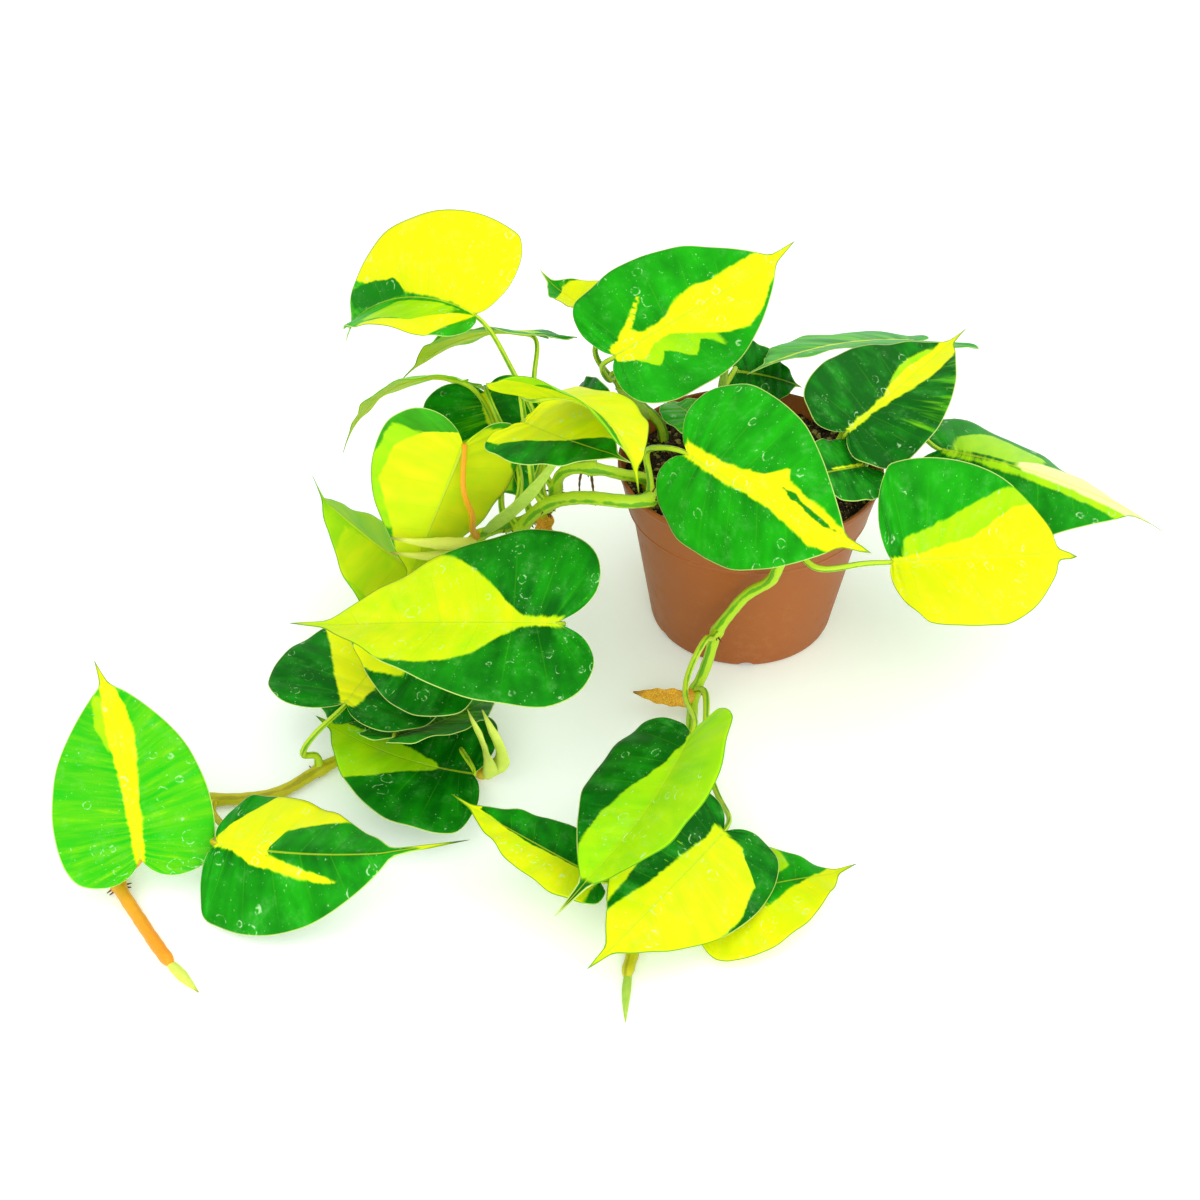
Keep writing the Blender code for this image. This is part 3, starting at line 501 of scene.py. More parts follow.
# the light bands mark pale patches, which are partly painted sheen
leafPaint = {
    "leaf_pot_front": dict(green=0.6, yellow=(
        ((-0.05, -0.12, 0.03), (0.2, -0.13, 0.05), (0.35, -0.2, 0.03), (0.42, -0.26, 0.04),
         (0.5, -0.42, 0.05), (0.53, -0.3, 0.06), (0.62, -0.26, 0.1), (0.75, -0.2, 0.2),
         (0.86, -0.13, 0.18), (1.0, -0.03, 0.03)),),
        dark=(((0.5, -0.21, -0.2), (0.6, -0.22, -0.15), (0.72, -0.14, -0.08), (0.8, -0.1, -0.05),
               (0.9, -0.07, -0.06)),), lush=0.02),
    "leaf_pot_top": dict(green=0.6, yellow=(
        ((-0.02, -0.1, 0.1), (0.1, -0.2, 0.3), (0.18, -0.08, 0.14), (0.28, -0.08, 0.14),
         (0.38, -0.2, 0.32), (0.5, -0.25, 0.5), (0.6, -0.2, 0.56), (0.72, -0.2, 0.42),
         (0.84, -0.2, 0.2), (1.0, -0.04, 0.04)),
        ((0.06, -0.2, 0.0), (0.12, -0.27, -0.14), (0.18, -0.38, -0.3), (0.26, -0.52, -0.49))),
        lime=(((0.04, 0.1, 0.16), (0.14, 0.1, 0.5), (0.2, 0.1, 0.3), (0.3, 0.1, 0.6),
               (0.38, 0.1, 0.4), (0.46, 0.1, 0.66)),), lush=0.08),
    "leaf_back_right": dict(green=0.05, yellow=(
        ((0.0, -0.03, 0.03), (0.2, -0.04, 0.05), (0.32, -0.05, 0.1), (0.42, -0.12, 0.16),
         (0.6, -0.16, 0.28), (0.78, -0.1, 0.3), (0.92, -0.12, 0.2), (1.05, -0.3, 0.3)),),
        lime=(((0.42, -0.15, -0.1), (0.55, -0.25, -0.1), (0.66, -0.24, -0.1), (0.8, -0.15, -0.1)),),
        light=(((0.35, 0.75, 1.0), (0.55, 0.6, 1.1), (0.8, 0.4, 0.9)),)),
    "leaf_back_flat": dict(green=0.6, yellow=(
        ((0.0, -0.03, 0.03), (0.9, -0.02, 0.02)),),
        light=(((0.1, -0.2, 0.9), (0.5, -0.4, 1.0), (0.9, -0.3, 0.4)),)),
    "leaf_right": dict(green=0.5, yellow=(
        ((-0.3, -0.02, 1.3), (0.05, -0.03, 1.3), (0.2, -0.1, 1.3), (0.4, -0.2, 1.3),
         (0.6, -0.5, 1.3), (0.8, -0.55, 1.3), (1.2, -0.5, 1.3)),),
        lime=(((0.05, -0.2, 0.1), (0.3, -0.42, 0.0), (0.5, -0.66, 0.0), (0.75, -0.8, 0.0),
               (1.0, -0.7, 0.0)),)),
    "leaf_far_right": dict(green=0.4, cream=(
        ((0.35, -0.14, 0.03), (0.46, -0.38, 0.04), (0.6, -0.58, 0.06), (0.8, -0.45, 0.1),
         (1.05, -0.2, 0.12)),),
        lime=(((0.05, -0.4, -0.04), (0.2, -0.85, -0.08), (0.36, -0.75, -0.08), (0.48, -0.6, 0.0)),
              ((0.0, 0.0, 0.06), (0.4, 0.02, 0.12), (0.9, 0.0, 0.2)))),
    "leaf_pot_small": dict(green=0.3, yellow=(((-0.02, 0.02, 0.08), (0.4, 0.04, 0.08)),)),
    "leaf_pot_back": dict(green=0.2),
    "leaf_pot_young": dict(green=0.8, light=(((0.0, -0.8, 0.8), (1.0, -0.4, 0.4)),)),
    "leaf_left_high": dict(green=0.75, yellow=(
        ((-0.3, -0.02, 1.3), (0.03, -0.02, 1.3), (0.12, 0.02, 1.3), (0.4, 0.04, 1.3),
         (0.55, 0.2, 1.3), (0.7, 0.26, 1.3), (0.82, 0.45, 1.3)),
        ((-0.02, -1.3, 0.0), (0.07, -1.3, -0.2), (0.16, -1.3, -0.74), (0.42, -1.3, -0.82))),
        lime=(((0.08, -0.72, -0.05), (0.3, -0.76, -0.08), (0.46, -0.72, -0.1)),),
        light=(((0.44, -1.2, 0.1), (1.1, -1.0, 0.6)),),
        dark=(((0.46, 0.03, 0.08), (0.52, 0.02, 0.24), (0.7, 0.0, 0.27),
               (0.85, 0.1, 0.3)),), lush=0.0),
    "leaf_left_edge": dict(green=0.5, lush=0.4, yellow=(
        ((0.05, -0.12, 0.2), (0.5, -0.35, 0.55), (0.75, -0.5, 0.3), (1.1, -0.5, 0.5)),),
        lime=(((0.0, -0.5, 0.4), (0.5, -0.7, 0.8), (1.0, -0.6, 0.6)),)),
    "leaf_left_lime": dict(green=0.9, lush=0.5, lime=(((-0.3, -1.3, 1.3),
                                                       (1.2, -1.3, 1.3)),), yellow=(
        ((0.1, -0.3, 0.5), (0.5, -0.6, 0.8), (1.1, -0.4, 0.5)),)),
    "leaf_left_dark": dict(green=0.3, yellow=(
        ((-0.02, -0.04, 0.1), (0.2, -0.03, 0.12), (0.34, -0.02, 0.07)),),
        light=(((0.05, 0.12, 0.3), (0.22, 0.12, 0.5), (0.36, 0.1, 0.5)),),
        lime=(((0.3, -0.2, 0.7), (0.6, -0.1, 0.6), (0.85, 0.1, 0.4)),)),
    "leaf_left_under": dict(green=0.5, lush=0.36, yellow=(
        ((-0.12, 0.1, 0.7), (0.0, -0.5, 0.82), (0.15, -0.8, 0.9), (0.4, -0.82, 1.3),
         (0.6, -0.55, 1.3), (0.8, -0.3, 1.3), (1.1, -0.2, 0.6)),),
        lime=(((0.0, -0.9, -0.5), (0.3, -1.0, -0.7), (0.7, -0.9, -0.4)),)),
    "leaf_left_raised": dict(green=0.9, lush=0.6, lime=(((-0.3, -1.3, 1.3),
                                                         (1.2, -1.3, 1.3)),), yellow=(
        ((-0.3, -1.3, 1.3), (0.1, -0.9, 1.0), (0.3, -0.1, 0.8), (0.7, 0.1, 0.7)),)),
    "leaf_left_front": dict(green=0.25, yellow=(
        ((-0.02, -0.05, 0.05), (0.13, -0.05, 0.05), (0.2, -0.16, 0.22), (0.3, -0.42, 0.5),
         (0.42, -0.58, 0.76), (0.52, -0.64, 0.84), (0.65, -0.6, 0.76), (0.8, -0.42, 0.5),
         (1.1, -0.2, 0.2)),
        ((0.5, -1.3, -0.86), (0.68, -1.3, -0.68), (0.85, -1.3, -0.45))), lush=0.5),
    "leaf_left_low": dict(green=0.1, lime=(
        ((-0.14, 0.62, 1.3), (0.05, 0.3, 1.3), (0.2, -0.06, 1.3), (0.35, -0.2, 1.3),
         (0.6, -0.2, 1.3), (1.1, -0.06, 1.3)),),
        yellow=(((0.42, -0.5, -0.42), (0.65, -0.52, -0.25), (0.85, -0.36, -0.14)),)),
    "leaf_floor_left": dict(green=0.15, lime=(((0.58, -1.3, 1.3), (1.2, -1.3, 1.3)),), yellow=(
        ((-0.02, -0.04, 0.12), (0.2, -0.35, 0.2), (0.4, -0.6, 0.4), (0.56, -0.85, 0.1)),)),
    "leaf_floor_inner": dict(green=0.4, yellow=(
        ((0.25, -0.9, -0.6), (0.4, -1.0, -0.25), (0.5, -0.8, -0.35)),),
        light=(((0.1, -0.7, 0.3), (0.4, -0.4, 0.6), (0.7, -0.2, 0.3)),)),
    "leaf_floor_small": dict(green=0.3, yellow=(
        ((0.15, 0.4, 1.2), (0.35, -0.1, 1.2), (0.6, 0.05, 1.2), (0.8, 0.1, 0.6)),)),
    "leaf_floor_front": dict(green=0.15, lime=(
        ((0.2, -0.04, 0.04), (0.35, -0.16, 0.14), (0.5, -0.4, 0.2), (0.66, -0.66, 0.22),
         (0.85, -0.6, 0.16), (1.1, -0.4, 0.2)),)),
    "leaf_end_large": dict(green=1.22, lush=0.0, yellow=(
        ((-0.03, -0.06, 0.06), (0.2, -0.08, 0.1), (0.4, -0.08, 0.16), (0.6, -0.13, 0.22),
         (0.76, -0.12, 0.2), (0.9, -0.08, 0.1), (1.0, -0.03, 0.03)),),
        lime=(((0.55, -0.15, -0.1), (0.7, -0.26, -0.1), (0.85, -0.2, -0.08)),),
        light=(((-0.15, -1.0, 1.0), (0.3, -1.1, 1.1), (0.9, -0.6, 0.6)),)),
    "leaf_end_front": dict(green=0.4, yellow=(
        ((-0.05, -0.12, 0.04), (0.08, -0.8, 0.04), (0.18, -1.3, 0.16), (0.26, -1.3, 0.14),
         (0.32, -1.3, -0.4), (0.5, -1.3, -0.55), (0.65, -1.3, -0.62), (0.85, -1.3, -0.36),
         (0.98, -0.6, 0.1), (1.05, -0.6, 0.6), (1.4, -1.0, 1.0)),
        ((0.2, 0.0, 0.18), (0.35, 0.1, 0.24), (0.5, 0.22, 0.31), (0.64, 0.31, 0.35)))),
    "leaf_front_large": dict(green=0.1, lime=(
        ((-0.3, -1.3, -0.01), (0.05, -1.3, 0.04), (0.2, -1.3, 0.17), (0.35, -1.3, 0.37),
         (0.55, -1.3, 0.46), (0.75, -1.3, 0.38), (0.9, -1.3, 0.2)),)),
    "leaf_front_behind": dict(green=0.3, lush=0.3, yellow=(
        ((-0.05, -1.3, -0.03), (0.3, -1.3, -0.06), (0.5, -1.3, -0.1), (0.7, -1.3, 0.0),
         (0.86, -1.3, 0.1), (0.94, -1.3, 1.3), (1.2, -1.3, 1.3)),
        ((0.5, 0.96, 1.3), (0.7, 0.8, 1.3), (0.9, 0.4, 1.3)))),
    "leaf_front_lower": dict(green=0.12, lush=0.32, yellow=(
        ((0.0, -0.3, 0.14), (0.1, -0.76, 0.12), (0.3, -0.9, 0.18), (0.5, -0.86, 0.24),
         (0.7, -0.8, 0.34), (0.9, -0.6, 0.4), (1.1, -0.4, 0.3)), ((0.3, 0.62, 1.3),
         (0.5, 0.5, 1.3), (0.9, 0.4, 1.3)))),
    "leaf_front_right": dict(green=0.6, lush=0.2, yellow=(
        ((-0.3, -1.3, 1.3), (0.2, -1.3, 1.3), (0.28, -0.9, 1.3), (0.33, 0.0, 1.3)),
        ((0.28, 0.46, 1.3), (0.42, 0.3, 1.3), (0.55, 0.14, 1.3), (0.7, 0.02, 1.3),
         (0.85, -0.1, 1.3), (1.1, -0.4, 1.3))),
        lime=(((0.3, -1.1, 0.0), (0.45, -1.0, -0.1), (0.62, -0.9, -0.3)),)),
    "leaf_rim_left": dict(green=0.6, lush=0.25, yellow=(
        ((-0.3, -1.3, 1.3), (0.1, -1.3, 1.3), (0.2, -1.3, 0.5), (0.4, -1.3, 0.2), (0.6, -1.3, 0.1),
         (0.8, -1.3, 0.2), (1.1, -1.3, 0.5)),),
        lime=(((0.1, 0.5, 1.3), (0.3, 0.62, 1.3), (0.5, 0.5, 1.3), (0.7, 0.34, 1.3),
               (1.1, 0.2, 1.3)),)),
    "leaf_rim_below": dict(green=0.25, lush=0.2, yellow=(
        ((-0.3, -1.3, 0.9), (0.05, -1.3, 0.75), (0.2, -1.3, 0.4), (0.4, -1.3, 0.12),
         (0.52, -1.2, -0.1), (0.66, -0.9, -0.3), (0.8, -0.6, -0.35)),)),
    "leaf_rim_dark": dict(green=0.1, yellow=(((0.0, -0.03, 0.03), (0.9, -0.02, 0.02)),)),
    "leaf_back_left": dict(green=0.5, yellow=(
        ((-0.2, -1.3, 1.3), (0.5, -1.3, 1.3), (0.62, -0.6, 0.9), (0.72, -0.2, 0.5),
         (0.8, 0.1, 0.25)),),
        light=(((0.2, -0.7, 0.7), (0.6, -0.6, 0.6)),)),
}

# Each leaf. stem and node say where the stalk starts, slot is the part's own material, via is what
# the stalk bends through, and base is where it meets the blade. heading, pitch and roll aim the
# midrib there, in degrees: heading 0 points along +X. droop bends the midrib down towards the tip,
# fold lifts the halves, twist turns the tip about the midrib and side bends it in the blade's own
# plane. lobes scales the two lobes behind the stalk and tip draws out the point.
leafFields = (
    "stem", "node", "slot", "via", "base",
    "heading", "pitch", "roll", "length", "width", "droop", "fold", "twist", "side", "lobes", "tip",
)
leafRows = {
    "leaf_pot_front": ("stem_middle", 3, "leaf_green", ((-48, -29, 108), (-44, -41, 122)),
        (-32, -59, 131), 310, 0, 57, 85, 72, 20, -19, -7, -3, 0.95, 0.06),
    "leaf_pot_top": ("stem_crown_back", 5, "leaf_green", ((-63, 31, 110), (-67, 27, 118)),
        (-61, 21, 129), 24, 20, 10, 93, 79, 5, 10, 28, -7, 0.45, 0.06),
    "leaf_back_right": ("stem_crown_right", 3, "leaf_green", ((39, -11, 103),), (39, -21, 117),
        49, 5, 25, 88, 57, 0, 21, -33, 0, 0.8, 0.06),
    "leaf_back_flat": ("stem_crown_right", 4, "leaf_green", ((61, 40, 106),), (84, 82, 100),
        203, 16, 22, 102, 77, 18, 6, 10, -18, 1.2, 0.06),
    "leaf_right": ("stem_front", 5, "leaf_yellow", ((20, -76, 87), (38, -76, 87)), (55, -71, 85),
        13, -6, 27, 90, 75, 13, 34, 20, -4, 0.4, 0.06),
    "leaf_far_right": ("stem_crown_right", 4, "leaf_green", ((62, 2, 112),), (87, 4, 90),
        342, 0, 15, 96, 73, 16, -22, -24, 10, 0.8, 0.08),
    "leaf_pot_small": ("stem_crown_right", 2, "leaf_dark", ((42, -14, 99),), (44, -36, 109),
        208, 10, -12, 40, 36, -7, 5, -16, -11, 1.1, 0.06),
    "leaf_pot_back": ("stem_crown_middle", 4, "leaf_dark", ((-6, 38, 111),), (-3, 46, 105),
        19, -18, 48, 39, 32, 22, 0, -4, 6, 1.0, 0.06),
    "leaf_pot_young": ("stem_crown_middle", 3, "leaf_green", ((-17, 13, 105),), (-23, 5, 103),
        115, 0, 0, 36, 28, 30, 14, 0, 0, 1.0, 0.06),
    "leaf_left_high": ("stem_left", 10, "leaf_yellow", ((-97, 2, 76), (-109, 25, 122)),
        (-124, 33, 143), 148, 11, -15, 87, 74, 64, 34, -11, -25, 0.55, 0.06),
    "leaf_left_edge": ("stem_left", 9, "leaf_green", ((-89, 5, 97), (-98, 27, 111)), (-99, 46, 125),
        148, -7, 28, 76, 48, 49, 8, -2, -2, 1.2, 0.06),
    "leaf_left_lime": ("stem_left", 11, "leaf_yellow", ((-114, 18, 70), (-121, 32, 95)),
        (-131, 30, 110), 165, 9, 37, 69, 77, 87, 4, -18, 8, 0.5, 0.06),
    "leaf_left_dark": ("stem_middle", 8, "leaf_dark",
        ((-106, -11, 70), (-107, 10, 82), (-117, 19, 104)),
        (-121, 42, 95), 331, -72, 74, 63, 63, 11, 24, -7, 6, 0.95, 0.06),
    "leaf_left_under": ("stem_left", 12, "leaf_yellow", ((-125, -26, 76), (-128, -26, 93)),
        (-128, -14, 105), 200, -67, 91, 74, 68, 6, 24, 5, -5, 0.85, 0.06),
    "leaf_left_raised": ("stem_left", 13, "leaf_yellow", (), (-144, -10, 19),
        173, 38, 174, 82, 61, 24, 25, 9, 12, 0.8, 0.06),
    "leaf_left_front": ("stem_middle", 9, "leaf_green", ((-101, -49, 46), (-91, -77, 57)),
        (-86, -100, 76), 175, -3, -20, 107, 86, 6, 13, 33, -1, 0.95, 0.06),
    "leaf_left_low": ("stem_middle", 11, "leaf_green", ((-122, -88, 34),), (-121, -93, 48),
        153, 2, -21, 68, 64, 9, 15, -25, -12, 0.8, 0.06),
    "leaf_floor_left": ("stem_left", 17, "leaf_green", ((-194, -114, 13), (-191, -115, 23)),
        (-177, -98, 29), 66, 1, -2, 72, 82, 2, 7, 1, -1, 0.85, 0.06),
    "leaf_floor_inner": ("stem_middle", 11, "leaf_green", ((-142, -82, 20), (-151, -104, 26)),
        (-154, -117, 27), 36, -12, -29, 60, 46, -6, 10, 12, -18, 0.95, 0.06),
    "leaf_floor_small": ("stem_left", 15, "leaf_green", (), (-166, -87, 14),
        155, 2, -28, 38, 28, 19, 14, -45, -11, 1.2, 0.06),
    "leaf_floor_front": ("stem_middle", 13, "leaf_dark", (), (-122, -124, 12),
        171, 1, 3, 72, 76, -9, 7, 6, 25, 0.5, 0.06),
    "leaf_end_large": ("stem_left", 24, "leaf_green", (), (-252, -173, 14),
        106, 34, 7, 83, 61, 11, 23, -5, -4, 0.7, 0.06),
    "leaf_end_front": ("stem_left", 20, "leaf_green", ((-222, -152, 8),), (-218, -178, 29),
        340, 7, 23, 79, 58, 9, -27, -4, -20, 0.4, 0.3),
    "leaf_front_large": ("stem_front", 11, "leaf_yellow",
        ((-22, -77, 47), (-30, -96, 46), (-32, -120, 49)),
        (-32, -146, 57), 243, -20, 43, 83, 70, -20, 17, -34, 5, 0.5, 0.12),
    "leaf_front_behind": ("stem_front", 18, "leaf_yellow", ((-56, -173, 10),), (-70, -188, 21),
        153, 11, 14, 62, 40, -4, 7, -1, -2, 0.75, 0.06),
    "leaf_front_lower": ("stem_front", 14, "leaf_yellow", ((-22, -98, 12), (-17, -144, 14)),
        (-19, -170, 27), 234, 2, -23, 81, 61, 5, -1, 3, 2, 0.8, 0.06),
    "leaf_front_right": ("stem_front", 20, "leaf_yellow", ((-41, -197, 10),), (-25, -188, 7),
        11, 11, 6, 60, 60, 28, 5, -24, -7, 0.8, 0.08),
    "leaf_rim_left": ("stem_middle", 7, "leaf_yellow", ((-98, -21, 92), (-102, -13, 130)),
        (-94, -37, 144), 332, 27, -30, 71, 64, 77, 15, -25, 15, 0.45, 0.06),
    "leaf_rim_below": ("stem_left", 8, "leaf_yellow", ((-87, -7, 105),), (-100, -28, 126),
        314, 7, 5, 59, 48, -5, 6, 3, -5, 0.4, 0.06),
    "leaf_rim_dark": ("stem_left", 5, "leaf_dark", ((-71, -8, 96),), (-70, 3, 100),
        124, 15, -55, 45, 36, 60, 13, 6, 0, 1.2, 0.06),
    "leaf_back_left": ("stem_crown_back", 4, "leaf_green", ((-70, 51, 111), (-67, 50, 120)),
        (-50, 59, 118), 145, 0, 30, 62, 52, -18, 25, -36, 5, 1.1, 0.06),
}
leafShapes = {name: dict(zip(leafFields, row)) for name, row in leafRows.items()}


def leafAxes(shape):
    # across, along and up of the blade where the stalk meets it
    heading, pitch, roll = (math.radians(shape[key]) for key in ("heading", "pitch", "roll"))
    reach = math.cos(pitch)
    along = np.array((reach * math.cos(heading), reach * math.sin(heading), math.sin(pitch)))
    level = np.array((math.sin(heading), -math.cos(heading), 0.0))
    lift = np.cross(level, along)
    return (level * math.cos(roll) - lift * math.sin(roll), along,
            lift * math.cos(roll) + level * math.sin(roll))


def bladeSurface(shape, x, y):
    # the bent blade's middle surface over flat places: x in millimetres, y as a share of length
    length, half = shape["length"], shape["width"] / 2
    crease, count = leafBuild["crease"], leafBuild["midribSteps"]
    pointStart = leafBuild["pointStart"]
    z = (np.sqrt(x ** 2 + crease ** 2) - crease) * math.tan(math.radians(shape["fold"]))
    z = z - leafBuild["cupping"] * half * (x / half) ** 2
    onMidrib = np.clip(y, 0, 1)
    twist = math.radians(shape["twist"]) * onMidrib
    x, z = x * np.cos(twist) + z * np.sin(twist), z * np.cos(twist) - x * np.sin(twist)
    steps = np.linspace(0, 1, count + 1)
    middle = (steps[1:] + steps[:-1]) / 2
    down, turn = -math.radians(shape["droop"]), math.radians(shape["side"])
    line = np.zeros((count + 1, 3))
    line[1:] = np.cumsum(np.stack([np.cos(down * middle) * np.sin(turn * middle),
                                   np.cos(down * middle) * np.cos(turn * middle),
                                   np.sin(down * middle)], axis=1), axis=0) * length / count
    point = shape["tip"] * np.clip((y - pointStart) / (1 - pointStart), 0, 1) ** 2
    beyond = (y + point - onMidrib) * length
    a, b = down * onMidrib, turn * onMidrib
    ahead = beyond * np.cos(a) - z * np.sin(a)
    px = np.interp(onMidrib, steps, line[:, 0]) + x * np.cos(b) + ahead * np.sin(b)
    py = np.interp(onMidrib, steps, line[:, 1]) - x * np.sin(b) + ahead * np.cos(b)
    pz = np.interp(onMidrib, steps, line[:, 2]) + beyond * np.sin(a) + z * np.cos(a)
    base, (across, along, up) = np.array(shape["base"], float), leafAxes(shape)
    return base + px[..., None] * across + py[..., None] * along + pz[..., None] * up


def bladeSlopes(shape, x, y, step=0.3):
    # how the surface runs across and along the blade at each place
    more = step / shape["length"]
    return (bladeSurface(shape, x + step, y) - bladeSurface(shape, x - step, y),
            bladeSurface(shape, x, y + more) - bladeSurface(shape, x, y - more))


def fineOutline():
    # the outline's points joined by one smooth curve: half width, place along, start of the vein
    knots = np.array(halfOutline)
    scale = np.array((40.0, 80.0))      # the curve is drawn on a leaf of middling size
    count = (len(knots) - 1) * leafBuild["rowsPerKnot"]
    dense, places = smoothPath(knots[:, :2] * scale, 0.05)
    at = np.linspace(0, places[-1], count + 1)
    edge = np.stack([np.interp(at, places, dense[:, k]) for k in range(2)], axis=1) / scale
    nearest = [int(np.argmin(np.hypot(*(dense - knot * scale).T))) for knot in knots[:, :2]]
    vein = np.interp(at, places[nearest], knots[:, 2])
    amount, centre, reach = leafBuild["pinch"]
    pinch = amount * np.exp(-((edge[:, 1] - centre) / reach) ** 2)
    edge[:, 0] = np.maximum(edge[:, 0], 0) * (1 - pinch)
    edge[0], edge[-1] = (0, 0), (0, 1)
    return edge, vein


outlineEdge, outlineVein = fineOutline()


def bandField(bands, x, y):
    # how far inside the nearest band each place is, in shares of the half width; negative outside
    field = np.full(np.shape(x), -1.0)
    for band in bands:
        rows = np.array(band)
        low, high = (np.interp(y, rows[:, 0], rows[:, k]) for k in (1, 2))
        fromEnds = np.minimum(y - rows[0, 0], rows[-1, 0] - y) * 1.6
        field = np.maximum(field, np.minimum(np.minimum(x - low, high - x), fromEnds))
    return np.clip(field, -1, 1)


def weldLayer(points, faces, values, skin):
    # one point for each place, and no face that has lost its area
    _, first, back = np.unique(np.round(points, 2), axis=0, return_index=True, return_inverse=True)
    back = back.ravel()
    made = []
    for face in faces:
        corners = [int(back[i]) for i in face]
        corners = [c for i, c in enumerate(corners) if c != corners[i - 1]]
        if len(corners) > 2:
            made.append(tuple(corners))
    return {"points": points[first], "faces": made, "skin": skin,
            **{name: value[first] for name, value in values.items()}}


def bladeLayers(name, shape, paint, seed):
    # the blade's upper and lower side and its rim, with what its pattern needs on every point
    rows, columns = len(outlineEdge), leafBuild["columns"]
    half, length = shape["width"] / 2, shape["length"]
    share = np.linspace(-1, 1, columns)[None, :]
    rowShare = np.linspace(0, 1, rows)[:, None]
    edgeX, edgeY, vein = outlineEdge[:, :1], outlineEdge[:, 1:], outlineVein[:, None]
    side = np.abs(share)
    flatX = edgeX * share
    flatY = vein * (1 - side) + edgeY * side
    placed = np.where(flatY < 0, flatY * shape["lobes"], flatY)
    overX, overY = bladeSlopes(shape, flatX * half, placed)
    across, normal = unit(overX), unit(np.cross(overX, overY))
    # waves along the edge, quilting between the side veins and a curled tip
    turns = 2 * math.pi * leafBuild["waves"] * rowShare
    wave = np.sin(turns + seed * 2.4) + 0.4 * np.sin(turns * 1.7 + seed)
    wave = leafBuild["waveHeight"] * side ** 3 * wave
    quilt = 1 - np.abs(np.sin(math.pi * leafBuild["sideVeins"] * rowShare)) ** 0.7
    wave = wave - leafBuild["quilt"] * quilt * np.sin(math.pi * side) ** 0.8
    wave = wave * np.clip(edgeX * 3, 0, 1)
    curlUp, curlRight = tipCurls.get(name, (0.0, 0.0))
    curlStart = leafBuild["curlStart"]
    tipShare = np.clip((flatY - curlStart) / (1 - curlStart), 0, 1) ** 2
    rise = wave + curlUp * tipShare
    middle = bladeSurface(shape, flatX * half, placed) + normal * rise[..., None]
    middle = middle + across * (curlRight * tipShare)[..., None]
    edgeDistance = (1 - side) * edgeX * half
    thin, thick = leafBuild["edgeThickness"], leafBuild["thickness"]
    thick = thin + (thick - thin) * np.clip(edgeDistance / leafBuild["edgeReach"], 0, 1)
    offset = normal * (thick / 2)[..., None]

    def triple(*fields):
        full = [np.broadcast_to(field, flatX.shape) for field in fields]
        return np.stack(full, axis=-1).reshape(-1, 3)

    def bands(*kinds):
        return [bandField(paint.get(kind, ()), flatX, flatY) for kind in kinds]

    values = {
        "tones": triple(*bands("yellow", "lime", "light")),
        "extras": triple(*bands("cream", "dark"), paint["green"]),
        "vein": triple(share, rowShare, seed),
        "place": triple(flatX * half, flatY * length, edgeDistance),
        "lushness": np.full(flatX.size, paint.get("lush", 0.1)),
    }
    above, below = (middle + offset).reshape(-1, 3), (middle - offset).reshape(-1, 3)
    grid = [(r * columns + c, r * columns + c + 1, (r + 1) * columns + c + 1, (r + 1) * columns + c)
            for r in range(rows - 1) for c in range(columns - 1)]
    # the rim joins the two layers: up one edge from the sinus to the tip and back down the other
    loop = [r * columns + columns - 1 for r in range(rows)]
    loop += [r * columns for r in range(rows - 1, 0, -1)]
    rim = [(i, i + len(above), j + len(above), j) for i, j in zip(loop, loop[1:] + loop[:1])]
    rimValues = {key: np.concatenate([value, value]) for key, value in values.items()}
    return [weldLayer(above, grid, values, leafUpper),
            weldLayer(below, [face[::-1] for face in grid], values, leafUnder),
            weldLayer(np.concatenate([above, below]), rim, rimValues, leafUnder)]


def closeSeams(piece):
    # the rim shares its points with the two sides, so the blade is one closed skin
    shape = bmesh.new()
    shape.from_mesh(piece.data)
    bmesh.ops.remove_doubles(shape, verts=shape.verts, dist=leafBuild["seam"] * mm)
    shape.to_mesh(piece.data)
    shape.free()


def stalkPoints(shape):
    # the stalk from the stem's skin to the blade, and the midrib below the blade
    stem = stems[shape["stem"]]
    path = np.array(stem["path"], float)
    node = shape["node"]
    first = np.array((*shape["via"], shape["base"])[0], float)
    start = first - path[node]
    if node < len(path) - 1:
        ahead = unit(path[node + 1] - path[node - 1])
        start = start - ahead * start.dot(ahead)
    start = unit(start)
    reach = min(4.0, 0.35 * np.linalg.norm(first - path[node]))
    foot = [path[node] + start * (stem["radius"] + out) for out in (-0.4, 0.8 + reach)]
    y, depth = np.array(midribDepth).T
    overX, overY = bladeSlopes(shape, 0 * y, y)
    ridge = bladeSurface(shape, 0 * y, y) - unit(np.cross(overX, overY)) * depth[:, None]
    return np.array([*foot, *shape["via"]], float), ridge


def buildLeaf(name, seed):
    shape = leafShapes[name]
    points, ridge = stalkPoints(shape)
    path, places = smoothPath(np.concatenate([points, ridge]), leafBuild["stalkStep"])
    meets = places[np.argmin(np.linalg.norm(path - ridge[0], axis=1))]
    start, end = leafBuild["stalkRadius"]
    flare, flareReach = leafBuild["stalkFlare"]
    below = np.clip((places - meets) / (places[-1] - meets), 0, 1)
    taper = start + (end - start) * places / meets
    radius = np.where(places < meets, taper, end * (1 - 0.8 * below ** 0.6))
    radius = radius + flare * np.exp(-(places / flareReach) ** 2)
    stalk = tubeAlong(path, radius, leafBuild["stalkSides"], leafStalk, along=places / meets,
                      tone=np.full(len(path), stalkTones.get(name, 0.0)))
    parts = bladeLayers(name, shape, leafPaint[name], seed) + [stalk]
    piece = makePiece(name.replace("leaf_", "fineLeaf_"), parts, leafBuild["sharpAngle"])
    closeSeams(piece)
    settle(piece, name)


# Colours of the living parts, in linear light

